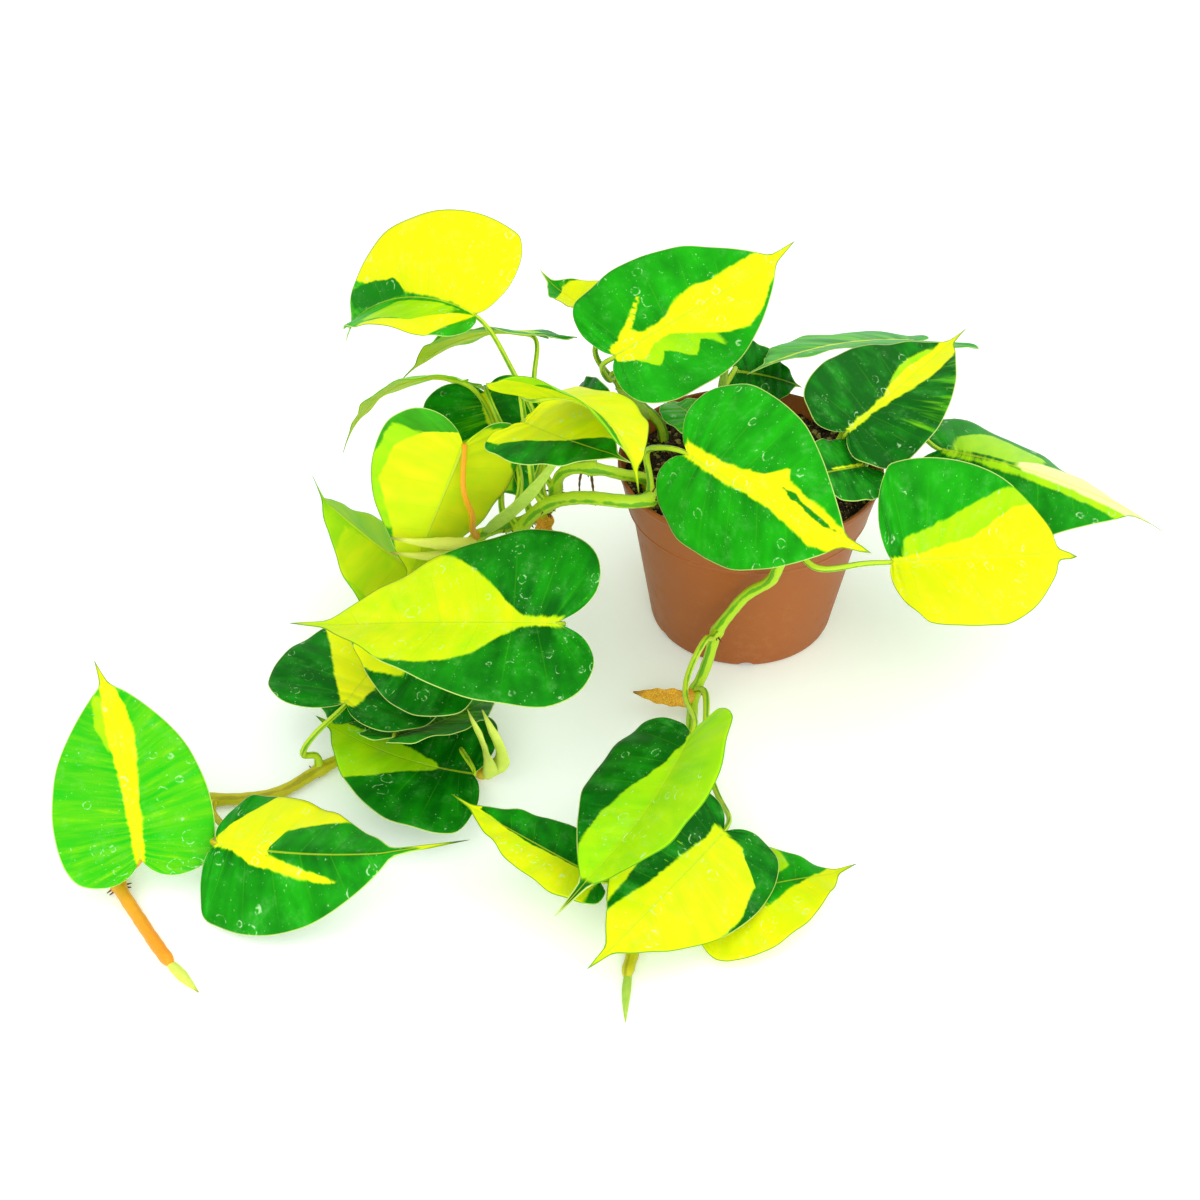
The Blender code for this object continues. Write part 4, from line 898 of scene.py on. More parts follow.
plantColours = {
    "darkGreen": (0.001, 0.1, 0.002, 1),
    "islandGreen": (0.006, 0.2, 0.003, 1),
    "midGreen": (0.013, 0.45, 0.004, 1),
    "lightGreen": (0.115, 0.54, 0.003, 1),
    "lime": (0.38, 0.7, 0.002, 1),
    "yellow": (0.72, 0.76, 0.003, 1),
    "cream": (0.8, 0.82, 0.3, 1),
    "midrib": (0.48, 0.64, 0.02, 1),
    "underside": (0.45, 0.64, 0.05, 1),
    # pale, for the dried water marks and for the painted sheen haze
    "waterMarkAndSheen": (0.5, 0.82, 0.42, 1),
    "greenMargin": (0.62, 0.78, 0.2, 1),
    "paleMargin": (0.02, 0.22, 0.006, 1),
    "stalk": (0.42, 0.6, 0.012, 1),
    "stalkStreak": (0.04, 0.26, 0.008, 1),
    "stem": (0.37, 0.58, 0.01, 1),
    "stemStreak": (0.05, 0.3, 0.008, 1),
    "orange": (0.82, 0.27, 0.008, 1),
    "brown": (0.1, 0.045, 0.016, 1),
}

# the leaves' pattern. The noises that follow the side veins are given as scale across the blade,
# scale along it, offset and detail, the others as scale, detail and roughness.
leafLook = {
    "broad": (1.1, 12.0, 0.0, 2.0),
    "fine": (2.2, 46.0, 17.0, 3.0),
    "long": (0.8, 34.0, 31.0, 3.0),
    "mottle": (0.11, 3.0, 0.6),
    "wander": (0.13, 2.0, 0.5),
    "borderWander": 0.05,       # how far the borders of the colours stray
    "ribShade": 0.22,           # painted shade: how much darker the green is beside the midrib, in the fold
    # how strongly the pale patches show; they are partly painted sheen
    "paleAndSheenSplash": 0.7,
    "fringe": 0.7,              # lime along the yellow
    "flecks": 0.5,
    "veinTint": 0.16,
    "midribWidth": (0.75, 0.28),    # half of it, at the stalk and at the tip
    "midribTint": 0.5,
    "ringSize": (0.16, 0.42),   # of dried water drops
    "specks": 0.7,
    # painted sheen: how strongly the pale haze shows
    "sheenHaze": 0.13,
    "margin": (0.45, 0.15),     # the margin starts and is full this far from the edge
    "marginTint": 0.75,
    "quiltHeight": 0.55,
    "cellHeight": 0.16,
    "ribDepth": 0.4,
    "streakHeight": 0.22,
    "roughness": (0.22, 0.32),  # how much it varies, and the least
}


def buildLeafPattern():
    # the variegation: hard-edged sectors that break up into streaks along the side veins
    group, given, out = newGroup(
        "leafPattern",
        [("Vein Count", "Float", leafBuild["sideVeins"]), ("Streak", "Float", 0.1),
         ("Paleness", "Float", 0.0), ("Water Marks And Sheen", "Float", 0.4)],
        [("Colour", "Color"), ("Height", "Float"), ("Roughness", "Float")])
    look = leafLook
    yellow, lime, light = splitVector(readAttribute(group, "tones", "Vector"))
    cream, dark, ground = splitVector(readAttribute(group, "extras", "Vector"))
    across, row, seed = splitVector(readAttribute(group, "vein", "Vector"))
    x, y, edge = splitVector(readAttribute(group, "place", "Vector"))
    lushness = readAttribute(group, "lushness")

    def veinNoise(name):
        acrossScale, rowScale, offset, detail = look[name]
        place = joinVector(group, times(across, acrossScale), times(row, rowScale),
                           plus(seed, offset))
        return minus(noise(place, 1.0, detail, 0.6), 0.5)

    broad, fine, long = veinNoise("broad"), veinNoise("fine"), veinNoise("long")
    streaks = plus(times(broad, 1.5), times(fine, 0.9))
    place = joinVector(group, x, y, times(seed, 9.0))
    mottle = noise(place, *look["mottle"])
    wander = minus(noise(place, *look["wander"]), 0.5)
    reach = plus(times(streaks, given["Streak"]), times(wander, look["borderWander"]))
    reach = plus(reach, times(long, look["borderWander"]))

    def sector(field, soft, shift=0.0, amount=0.0):
        # the area of one colour, softened, widened by shift and broken up by more streaks
        moved = plus(field, reach)
        if amount:
            moved = plus(moved, times(streaks, amount))
        return smoothStep(plus(moved, shift), -soft, soft)

    def paint(mask, colour, over):
        return mixColour(mask, over, plantColours[colour] if isinstance(colour, str) else colour)

    # the ground green, with pale splashes where the light bands lie, partly painted sheen
    tone = plus(ground, times(minus(mottle, 0.5), 0.5))
    # painted shade in the fold beside the midrib
    tone = minus(tone, smoothStep(unsigned(across), 0.4, 0.0, 0.0, look["ribShade"]))
    tone = plus(tone, broad)
    colour = paint(tone, "midGreen", plantColours["darkGreen"])
    colour = paint(minus(tone, 1.0), "lightGreen", colour)
    splash = paint(smoothStep(fine, 0.0, 0.2, 0.0, 0.5), "lime", plantColours["lightGreen"])
    # pale patches, partly painted sheen
    paleAndSheenArea = plus(doMath("MINIMUM", light, 0.1), times(long, 2.2))
    colour = paint(smoothStep(paleAndSheenArea, -0.15, 0.45, 0.0, look["paleAndSheenSplash"]), splash, colour)
    # lime, also as a fringe of the yellow and as flecks beside it
    fringe = larger(sector(yellow, 0.02, 0.01, 0.035), sector(cream, 0.02, 0.03, 0.06))
    limeMask = larger(sector(lime, 0.02, 0.0, 0.02), times(fringe, look["fringe"]))
    flecks = smoothStep(fine, 0.2, 0.22, 0.0, look["flecks"])
    limeMask = larger(limeMask, times(flecks, smoothStep(yellow, -0.4, -0.1)))
    limeTone = paint(plus(times(broad, 1.5), 0.74), "lime", plantColours["lightGreen"])
    colour = paint(limeMask, limeTone, colour)
    # yellow, which is greener on lush leaves, cream, and dark islands
    yellowMask, creamMask = sector(yellow, 0.018), sector(cream, 0.02)
    sway = plus(times(lushness, 1.8), 0.5)
    greener = plus(plus(times(broad, sway), times(wander, 0.5)), lushness)
    colour = paint(yellowMask, paint(greener, "lime", plantColours["yellow"]), colour)
    colour = paint(creamMask, "cream", colour)
    colour = paint(sector(dark, 0.012), "islandGreen", colour)
    # side veins and the midrib
    comb = doMath("FRACT", plus(times(row, given["Vein Count"]), 0.5))
    comb = unsigned(minus(comb, 0.5))
    veinLine = times(smoothStep(comb, 0.03, 0.0), smoothStep(unsigned(across), 1.0, 0.35))
    colour = paint(times(veinLine, look["veinTint"]), "lightGreen", colour)
    ribWidth = smoothStep(row, 0.0, 1.0, *look["midribWidth"])
    rib = smoothStep(doMath("DIVIDE", unsigned(x), ribWidth), 1.15, 0.7)
    colour = paint(times(rib, look["midribTint"]), "midrib", colour)
    # dried water drops leave pale rings and specks, and a pale haze of painted sheen lies over the
    # mottle
    warp = addNode(group, "ShaderNodeTexNoise", {"Vector": place, "Scale": 0.35, "Detail": 2.0})
    warped = addNode(group, "ShaderNodeVectorMath",
                     {0: warp.outputs["Color"], 1: (2.2, 2.2, 0.0), 2: place},
                     operation="MULTIPLY_ADD")
    cells = addNode(group, "ShaderNodeTexVoronoi",
                    {"Vector": warped.outputs[0], "Scale": 0.14, "Randomness": 1.0}).outputs
    sparse = splitVector(cells["Color"])["X"]
    ringRadius = smoothStep(sparse, 0.72, 1.0, *look["ringSize"])
    ring = smoothStep(unsigned(minus(cells["Distance"], ringRadius)), 0.045, 0.01)
    ring = times(ring, smoothStep(sparse, 0.7, 0.74))
    broken = smoothStep(noise(place, 0.6, 2.0, 0.5), 0.42, 0.6)
    specks = smoothStep(noise(place, 0.85, 2.0, 0.5), 0.69, 0.74)
    marks = larger(times(ring, broken), times(specks, look["specks"]))
    marks = times(marks, smoothStep(mottle, 0.34, 0.5))
    # painted sheen: a pale haze where the mottle is high, in the water marks' colour
    sheenHaze = times(smoothStep(mottle, 0.5, 0.68),
                 smoothStep(noise(place, 0.45, 3.0, 0.7), 0.35, 0.75, 0.0, look["sheenHaze"]))
    colour = paint(times(larger(marks, sheenHaze), given["Water Marks And Sheen"]), "waterMarkAndSheen", colour)
    # a thin margin along the edge, dark on the pale colours and pale on the green
    pale = larger(larger(yellowMask, creamMask), limeMask)
    marginTone = paint(pale, "paleMargin", plantColours["greenMargin"])
    margin = smoothStep(edge, *look["margin"])
    colour = paint(times(margin, look["marginTint"]), marginTone, colour)
    colour = paint(given["Paleness"], "underside", colour)
    # height: a furrow over the midrib and the side veins, soft quilting between them and fine cells
    height = times(smoothStep(comb, 0.0, 0.42), look["quiltHeight"])
    height = plus(height, times(noise(place, 1.7, 2.0, 0.55), look["cellHeight"]))
    height = minus(height, times(rib, look["ribDepth"]))
    height = plus(height, times(fine, look["streakHeight"]))
    vary, least = look["roughness"]
    group.links.new(colour, out["Colour"])
    group.links.new(height, out["Height"])
    group.links.new(plus(times(mottle, vary), least), out["Roughness"])
    return group


leafPattern = buildLeafPattern()


def buildLeafMaterials():
    upper, tree, shader = newMaterial("leafUpper", Specular_IOR_Level=0.06)
    # this input sets the dried water marks together with the painted sheen haze
    pattern = useGroup(tree, leafPattern, {"Streak": 0.018, "Paleness": 0.0, "Water Marks And Sheen": 0.55})
    linkSurface(shader, pattern["Colour"], pattern["Roughness"], pattern["Height"], 0.32)
    # the underside is paler and rougher, and stands up where the upper side sinks
    under, tree, shader = newMaterial("leafUnder", Specular_IOR_Level=0.08)
    pattern = useGroup(tree, leafPattern, {"Streak": 0.018, "Paleness": 0.07, "Water Marks And Sheen": 0.0})
    rough, height = plus(pattern["Roughness"], 0.12), minus(1.0, pattern["Height"])
    linkSurface(shader, pattern["Colour"], rough, height, 0.18)
    return upper, under


def buildLivingSkin():
    # green stems and stalks: long streaks, an orange tone where given, brown specks and a fine
    # grainy bump
    group, given, out = newGroup(
        "livingSkin",
        [("Green", "Color", plantColours["stalk"]),
         ("Streak Colour", "Color", plantColours["stalkStreak"]),
         ("Streak Amount", "Float", 0.5), ("Tone", "Float", 0.0), ("Stripe", "Float", 0.0)],
        [("Colour", "Color"), ("Height", "Float"), ("Roughness", "Float")])
    place = objectPlace(group)
    patches = noise(place, 0.12, 3.0, 0.6)
    grain = noise(place, 1.1, 3.0, 0.6)
    # three stripes round the tube, from the cosine of three times the angle
    thrice = minus(times(times(given["Stripe"], given["Stripe"]), 4.0), 3.0)
    thrice = times(thrice, given["Stripe"])
    band = plus(times(thrice, 0.5), times(patches, 1.3))
    streak = plus(smoothStep(band, 0.84, 1.08), smoothStep(patches, 0.6, 0.72, 0.0, 0.4),
                  clamp=True)
    colour = mixColour(times(streak, given["Streak Amount"]), given["Green"],
                       given["Streak Colour"])
    flushed = plus(given["Tone"], times(minus(grain, 0.5), 0.5))
    flushed = times(flushed, smoothStep(given["Tone"], 0.0, 0.1))
    colour = mixColour(flushed, colour, plantColours["orange"])
    specks = smoothStep(noise(place, 2.6, 1.0, 0.5), 0.68, 0.76, 0.0, 0.45)
    colour = mixColour(specks, colour, plantColours["brown"])
    group.links.new(colour, out["Colour"])
    group.links.new(plus(grain, times(patches, 0.6)), out["Height"])
    group.links.new(smoothStep(grain, 0.2, 0.8, 0.34, 0.52), out["Roughness"])
    return group


livingSkin = buildLivingSkin()


def buildLivingMaterial(name, kind, bumpDistance, finish):
    # finish gives the tree and the skin's colour one more layer
    material, tree, shader = newMaterial(name, Specular_IOR_Level=0.25)
    skin = useGroup(tree, livingSkin, {
        "Green": plantColours[kind], "Streak Colour": plantColours[kind + "Streak"],
        "Streak Amount": 0.8, "Tone": readAttribute(tree, "tone"),
        "Stripe": readAttribute(tree, "stripe")})
    colour = finish(tree, skin["Colour"])
    linkSurface(shader, colour, skin["Roughness"], skin["Height"], bumpDistance)
    return material


def turnToMidrib(tree, colour):
    # past the blade's foot the stalk becomes the pale midrib
    past = smoothStep(readAttribute(tree, "along"), 0.98, 1.06)
    return mixColour(past, colour, plantColours["midrib"])


def addScars(tree, colour):
    # dark scars at the leaf nodes
    ragged = plus(readAttribute(tree, "scar"), times(noise(objectPlace(tree), 0.9, 3.0, 0.6), 0.5))
    return mixColour(smoothStep(ragged, 0.95, 1.12), colour, plantColours["brown"])


leafUpper, leafUnder = buildLeafMaterials()
leafStalk = buildLivingMaterial("leafStalk", "stalk", 0.12, turnToMidrib)
stemSkin = buildLivingMaterial("stemSkin", "stem", 0.2, addScars)

for leafSeed, leafName in enumerate(leafShapes, start=1):
    buildLeaf(leafName, leafSeed)
print("leaves:", len(leafShapes))


# Stems with their scales, sheaths and roots

stemBuild = {
    "sides": 22,
    "ringStep": 1.2,
    "swelling": 0.75,       # extra radius at a leaf node
    "swellingReach": 2.6,
    "scar": (1.6, 0.75),    # how far past the node the scar lies, and its reach
    "shrivel": 0.12,        # unevenness of the radius
    "end": (0.93, 0.78, 0.5),       # how the last rings narrow
    "sharpAngle": 60,
}

# how much a stem is flushed orange at some of the points of its path
stemFlush = {
    "stem_left": ((14, 0.0), (16, 0.3), (22, 0.42), (24, 0.7), (26, 0.95)),
    "stem_middle": ((10, 0.0), (13, 0.5)),
    "stem_front": ((18, 0.0), (21, 0.3)),
}

# Scales, dried sheaths and growing tips, each flat and a little sunk in its stem. dryness goes
# from 0 green over 0.5 pale to 1 brown, turn rolls the scale about its length and crumple makes it
# uneven.
scaleFields = ("width", "dryness", "turn", "crumple", "points")
scaleRows = {
    "stem_left": (
        (4.5, 0.4, 0, 0.3, ((-234, -215, 2.8), (-227, -222, 2.6), (-220, -229, 2.2))),
        (9.9, 1.0, 115, 1.2, ((-92, -12, 66), (-93, -16, 56), (-86, -18, 50), (-78, -20, 48))),
        (6.9, 0.3, -35, 0.15, ((-121, -14, 56), (-116, -21, 66), (-104, -27, 82), (-80, -30, 120))),
        (5.85, 0.5, -40, 0.25, ((-124, -16, 54), (-136, -24, 58), (-162, -29, 65))),
        (5.2, 0.5, -40, 0.25, ((-125, -16, 51), (-138, -26, 53), (-162, -32, 59))),
    ),
    "stem_middle": (
        (10.2, 0.38, 60, 0.3,
         ((-118, -117, 4), (-115, -119, 14), (-119, -117, 29), (-123, -116, 42))),
        (8.0, 0.38, 60, 0.3,
         ((-118, -117, 4), (-110, -118, 14), (-113, -117, 29), (-117, -116, 42))),
    ),
    "stem_front": (
        (3.52, 0.25, 0, 0.1, ((-57, -218, 2.7), (-58, -228, 2.3), (-58.5, -242, 1.4))),
        (8.5, 1.0, -60, 0.8, ((-25, -70, 9), (-31, -77, 12), (-41, -76, 12), (-53, -71, 10))),
    ),
    "stem_crown_right": (
        (4.4, 0.0, -20, 0.0, ((43, 5, 100), (44, 8, 108), (47, 12, 118))),
    ),
    "stem_crown_back": (
        (7.7, 0.2, -30, 0.1, ((-44, 32, 89), (-52, 30, 99), (-61, 30, 106))),
    ),
    "stem_crown_middle": (
        (4.4, 0.0, -20, 0.0, ((-13, 25, 104), (-12, 28, 112), (-9, 32, 122))),
        (5.5, 0.1, -30, 0.0, ((-12, 20, 82), (-20, 15, 87), (-27, 11, 94))),
    ),
}

# short aerial roots, and the stubs that ring the leaf nodes
aerialRoots = {
    "stem_left": (
        ((-76, -19, 95), (-77, -21, 90), (-77, -22, 84)),
        ((-72, -20, 95), (-71, -24, 88), (-70, -25, 80)),
    ),
}
rootBuild = {"radius": (0.75, 0.25), "knobs": 0.1, "step": 0.8, "sides": 10}
stubBuild = {
    "perNode": 5,
    "length": (1.0, 3.4),
    "radius": 0.42,
    "step": 0.4,
    "sides": 8,
    "floor": 0.7,           # the middle of a stub goes no lower
    "seed": 11,
}

sheathColours = {
    "young": ((0.22, 0.46, 0.03, 1), (0.5, 0.68, 0.1, 1)),
    "pale": ((0.66, 0.8, 0.03, 1), (0.82, 0.82, 0.2, 1)),
    "dried": ((0.42, 0.15, 0.01, 1), (0.85, 0.48, 0.03, 1)),
    "root": ((0.035, 0.016, 0.008, 1), (0.22, 0.1, 0.035, 1)),
}


def buildSheathSkin():
    material, tree, shader = newMaterial("sheathSkin", Specular_IOR_Level=0.25)
    place, dryness = objectPlace(tree), readAttribute(tree, "dryness")
    patches = noise(place, 0.35, 3.0, 0.65)
    fibre = noise(place, 1.9, 3.0, 0.7)
    young = mixColour(patches, *sheathColours["young"])
    pale = mixColour(patches, *sheathColours["pale"])
    dried = mixColour(smoothStep(fibre, 0.3, 0.65), *sheathColours["dried"])
    colour = mixColour(smoothStep(dryness, 0.25, 0.5), young, pale)
    colour = mixColour(smoothStep(dryness, 0.6, 0.95), colour, dried)
    # the tip dries first
    tip = times(smoothStep(readAttribute(tree, "along"), 0.8, 1.0), smoothStep(dryness, 0.2, 0.5))
    colour = mixColour(times(tip, 0.7), colour, plantColours["brown"])
    linkSurface(shader, colour, smoothStep(fibre, 0.2, 0.8, 0.5, 0.8), fibre, 0.25)
    return material


def buildRootSkin():
    material, tree, shader = newMaterial("rootSkin", Specular_IOR_Level=0.2)
    grain = noise(objectPlace(tree), 1.6, 3.0, 0.7)
    linkSurface(shader, mixColour(grain, *sheathColours["root"]),
                smoothStep(grain, 0.2, 0.8, 0.6, 0.9), grain, 0.25)
    return material


sheathSkin, rootSkin = buildSheathSkin(), buildRootSkin()


def nodeStubs(stem, path, knots):
    # dark dry root stubs, on the underside of each node and never below the floor
    draw = np.random.default_rng(stubBuild["seed"] + len(path))
    parts = []
    for node in stem["nodes"]:
        ahead = unit(knots[min(node + 1, len(knots) - 1)] - knots[node - 1])
        for k in range(stubBuild["perNode"]):
            out = draw.normal(size=3) - (0, 0, 0.8)
            out = unit(out - ahead * out.dot(ahead))
            length = draw.uniform(*stubBuild["length"])
            start = knots[node] + ahead * draw.uniform(0.6, 2.2) + out * (stem["radius"] - 0.2)
            line = [start, start + out * length * 0.6,
                    start + out * length + ahead * draw.uniform(-0.6, 0.6)]
            line = [(x, y, max(z, stubBuild["floor"])) for x, y, z in line]
            curve, places = smoothPath(line, stubBuild["step"])
            thickness = stubBuild["radius"] * (1.25 - 0.8 * places / places[-1])
            parts.append(tubeAlong(curve, thickness, stubBuild["sides"], rootSkin))
    return parts


def aerialRoot(points):
    line, places = smoothPath(points, rootBuild["step"])
    start, end = rootBuild["radius"]
    thickness = start + (end - start) * places / places[-1]
    thickness = thickness + rootBuild["knobs"] * np.sin(places * 2.1)
    return tubeAlong(line, thickness, rootBuild["sides"], rootSkin)


def buildStem(name):
    stem, build = stems[name], stemBuild
    path, places = smoothPath(stem["path"], build["ringStep"])
    knots = np.array(stem["path"], float)
    nearest = [np.argmin(np.linalg.norm(path - knot, axis=1)) for knot in knots]
    knotPlaces = places[nearest]
    radius = np.full(len(path), float(stem["radius"]))
    scar, tone = np.zeros(len(path)), np.zeros(len(path))
    scarPlace, scarReach = build["scar"]
    for node in stem["nodes"]:
        distance = places - knotPlaces[node]
        radius += build["swelling"] * np.exp(-(distance / build["swellingReach"]) ** 2)
        scar = np.maximum(scar, np.exp(-((distance - scarPlace) / scarReach) ** 2))
    radius += build["shrivel"] * np.sin(places * 0.83) * np.sin(places * 0.31 + 1.0)
    radius[-len(build["end"]):] *= build["end"]
    if name in stemFlush:
        at, amounts = zip(*stemFlush[name])
        tone = np.interp(places, knotPlaces[list(at)], amounts)
    parts = [tubeAlong(path, radius, build["sides"], stemSkin, tone=tone, scar=scar)]
    scales = [dict(zip(scaleFields, row)) for row in scaleRows[name]]
    parts += [ribbonAlong(skin=sheathSkin, **scale) for scale in scales]
    parts += [aerialRoot(points) for points in aerialRoots.get(name, ())]
    if stem["slot"] == "stem":
        parts += nodeStubs(stem, path, knots)
    piece = makePiece(name.replace("stem_", "fineStem_"), parts, build["sharpAngle"])
    settle(piece, name)


for stemName in stems:
    buildStem(stemName)
print("stems:", len(stems))


# Pot

potShape = {
    "height": 87.0,
    "rimRadius": 60.0,
    "bandHeight": 22.5,
    "bandLowRadius": 55.2,
    "bodyTopRadius": 53.6,
    "baseRadius": 43.0,
    "wall": 1.4,
    "floor": 3.0,
    "corner": 2.2,
    "floorInset": 1.2,      # how far in from the wall the flat floor starts
    "shoulder": 1.5,        # height of the slope inside, where the body meets the band
    "sides": 192,
    "ringStep": 3.0,        # between rings where the wall is straight
    "notches": 6,
    "notchWidth": 7.4,
    "notchHeight": 2.8,
    "notchStart": 38.5,
    "drains": 6,
    "drainRadius": 3.5,
    "drainCircle": 25.0,
    "drainSides": 32,
    "sharpAngle": 40,
}
bandLow = potShape["height"] - potShape["bandHeight"]

plasticColours = {
    "dark": (0.28, 0.076, 0.012, 1),
    "light": (0.32, 0.092, 0.016, 1),
    "scuff": (0.5, 0.27, 0.14, 1),
    "speck": (0.1, 0.045, 0.025, 1),
}


def potInside(height):
    # the radius of the wall's inner side
    if height >= bandLow:
        share = (height - bandLow) / potShape["bandHeight"]
        low, high = potShape["bandLowRadius"], potShape["rimRadius"]
    else:
        share = height / (bandLow - potShape["shoulder"])
        low, high = potShape["baseRadius"], potShape["bodyTopRadius"]
    return low + share * (high - low) - potShape["wall"]


def roundProfile(corners, arcPoints=7):
    # corners are (radius, height, rounding); each becomes an arc and the sides get points between
    points = []
    for i, (x, y, rounding) in enumerate(corners):
        here = np.array((x, y), float)
        if rounding == 0:
            points.append(here)
            continue
        before, after = np.array(corners[i - 1][:2], float), np.array(corners[i + 1][:2], float)
        start, end = here + unit(before - here) * rounding, here + unit(after - here) * rounding
        for t in np.linspace(0, 1, arcPoints):
            points.append((1 - t) ** 2 * start + 2 * t * (1 - t) * here + t ** 2 * end)
    filled = [points[0]]
    for point in points[1:]:
        last = filled[-1]
        count = max(1, int(np.linalg.norm(point - last) / potShape["ringStep"]))
        filled += [last + (point - last) * k / count for k in range(1, count + 1)]
    return filled


def revolve(profile, sides, skin, lift=lambda x, y, height: 0.0):
    # turns the profile round the pot's middle; a point on the axis closes it
    points, rings = [], []
    for radius, height in profile:
        angles = [2 * math.pi * k / sides for k in range(sides if radius > 1e-6 else 1)]
        rings.append(range(len(points), len(points) + len(angles)))
        for angle in angles:
            x, y = radius * math.cos(angle), radius * math.sin(angle)
            points.append((x, y, height + lift(x, y, height)))
    faces = []
    for low, high in zip(rings, rings[1:]):
        for k in range(sides):
            n = (k + 1) % sides
            if len(low) == 1:
                faces.append((low[0], high[n], high[k]))
            elif len(high) == 1:
                faces.append((low[k], low[n], high[0]))
            else:
                faces.append((low[k], low[n], high[n], high[k]))
    return {"points": np.array(points), "faces": faces, "skin": skin}


def buildPotPlastic():
    material, tree, shader = newMaterial("potPlastic", Specular_IOR_Level=0.25)
    place = objectPlace(tree)
    cloud = noise(place, 0.025, 3.0, 0.6)
    fine = noise(place, 1.8, 2.0, 0.6)
    rings = noise(stretch(place, (0.12, 0.12, 1.6)), 1.0, 2.0, 0.5)
    colour = mixColour(cloud, plasticColours["dark"], plasticColours["light"])
    # dusty scuffs, more of them low on the wall
    low = smoothStep(splitVector(place)["Z"], 60.0, 2.0)
    scuff = smoothStep(plus(noise(place, 0.22, 4.0, 0.7), times(low, 0.1)), 0.56, 0.72)
    colour = mixColour(times(scuff, 0.12), colour, plasticColours["scuff"])
    specks = smoothStep(noise(place, 0.9, 1.0, 0.5), 0.71, 0.78)
    colour = mixColour(times(specks, 0.4), colour, plasticColours["speck"])
    rough = plus(smoothStep(cloud, 0.3, 0.7, 0.42, 0.52), times(scuff, 0.2))
    linkSurface(shader, colour, rough, plus(times(fine, 0.35), times(rings, 0.65)), 0.09)
    return material


def potProfile():
    names = ("baseRadius", "bodyTopRadius", "bandLowRadius", "rimRadius", "height", "floor",
             "corner", "wall")
    base, body, band, rim, top, floor, corner, wall = (potShape[name] for name in names)
    shoulder = bandLow - potShape["shoulder"]
    return roundProfile([
        (0, 0, 0), (base - corner, 0, 0), (base - 0.5, 0.5, 0.8), (base + 0.3, corner, 1.0),
        (body - 0.5, bandLow - 3.2, 0.5), (body - 0.3, bandLow - 1.6, 0.3),
        (body, bandLow - 0.8, 0.2), (band, bandLow, 0.35), (band + 0.5, bandLow + 1.2, 0.3),
        (band + 0.15, bandLow + 1.9, 0.3), (band + 0.6, bandLow + 2.9, 0.3),
        (rim - 0.7, top - 3.4, 0.5), (rim, top - 2.6, 0.5), (rim, top, 0.6),
        (rim - wall, top, 0.6), (potInside(bandLow + 0.5), bandLow + 0.5, 0.5),
        (potInside(shoulder), shoulder, 0.5), (potInside(floor + corner), floor + corner, 1.2),
        (potInside(floor) - potShape["floorInset"], floor, 0.8), (0, floor, 0),
    ])


def footNotch(angle, skin):
    # an arch that runs outwards under the foot
    along = np.array((math.cos(angle), math.sin(angle), 0.0))
    across = np.array((-along[1], along[0], 0.0)) * potShape["notchWidth"] / 2
    curve = [(math.cos(a), math.sin(a)) for a in np.linspace(math.pi, 0, 13)]
    points = [along * reach + across * u + np.array((0, 0, potShape["notchHeight"] * v))
              for reach in (potShape["notchStart"], potShape["baseRadius"] + 4)
              for u, v in [(-1.0, -1.0), *curve, (1.0, -1.0)]]
    return {"points": np.array(points), "faces": ringFaces(2, len(curve) + 2), "skin": skin}


def drainHole(angle, skin):
    radius, deep = potShape["drainRadius"], potShape["floor"] + 1
    hole = revolve([(0, -1), (radius, -1), (radius, deep), (0, deep)], potShape["drainSides"], skin)
    circle = potShape["drainCircle"]
    hole["points"] = hole["points"] + (circle * math.cos(angle), circle * math.sin(angle), 0)
    return hole


def cutAway(piece, cutter):
    turned = bmesh.new()
    turned.from_mesh(cutter.data)
    bmesh.ops.recalc_face_normals(turned, faces=turned.faces)
    turned.to_mesh(cutter.data)
    turned.free()
    modifier = piece.modifiers.new("cut", "BOOLEAN")
    modifier.object = cutter
    modifier.operation = "DIFFERENCE"
    modifier.solver = "EXACT"
    depsgraph = bpy.context.evaluated_depsgraph_get()
    mesh = bpy.data.meshes.new_from_object(piece.evaluated_get(depsgraph))
    piece.modifiers.clear()
    piece.data = mesh
    bpy.data.objects.remove(cutter)


def buildPot():
    plastic, sharpAngle = buildPotPlastic(), potShape["sharpAngle"]
    notches, drains = potShape["notches"], potShape["drains"]
    wall = revolve(potProfile(), potShape["sides"], plastic)
    piece = makePiece("finePot", [wall], sharpAngle)
    cutters = [footNotch(2 * math.pi * (k + 0.5) / notches, plastic) for k in range(notches)]
    cutters += [drainHole(2 * math.pi * k / drains, plastic) for k in range(drains)]
    cutAway(piece, makePiece("potTool", cutters, sharpAngle))
    smoothShade(piece.data, sharpAngle)
    settle(piece, "pot")


buildPot()
print("pot")


# Soil

soilShape = {
    "top": 78.0,
    "gap": 0.3,             # to the pot
    "slack": 0.1,           # more gap beside the sloping wall
    "sides": 160,
    "rings": 46,
    "swells": 1.3,          # height of the broad unevenness
    "lumps": 0.35,          # and of the small one
    "calmEdge": 12.0,       # how far in from the rim it fades
    "sharpAngle": 80,
    "crumbs": 3000,
    "crumbSize": (0.5, 1.9),
    "crumbScale": ((0.55, 0.6, 0.5), (1.4, 1.2, 0.95)),
    "crumbTurn": ((-0.6, -0.6, 0.0), (0.6, 0.6, 6.283)),
    "lowest": 70.0,         # no crumb lies below this
    "seed": 7,
}

soilColours = {
    "clod": ((0.008, 0.005, 0.003, 1), (0.06, 0.034, 0.02, 1)),
    "grit": (0.28, 0.19, 0.1, 1),
    "crumb": ((0.012, 0.007, 0.004, 1), (0.085, 0.045, 0.024, 1)),
    "pale": (0.42, 0.34, 0.09, 1),
    "shade": (0.02, 0.012, 0.008, 1),
}


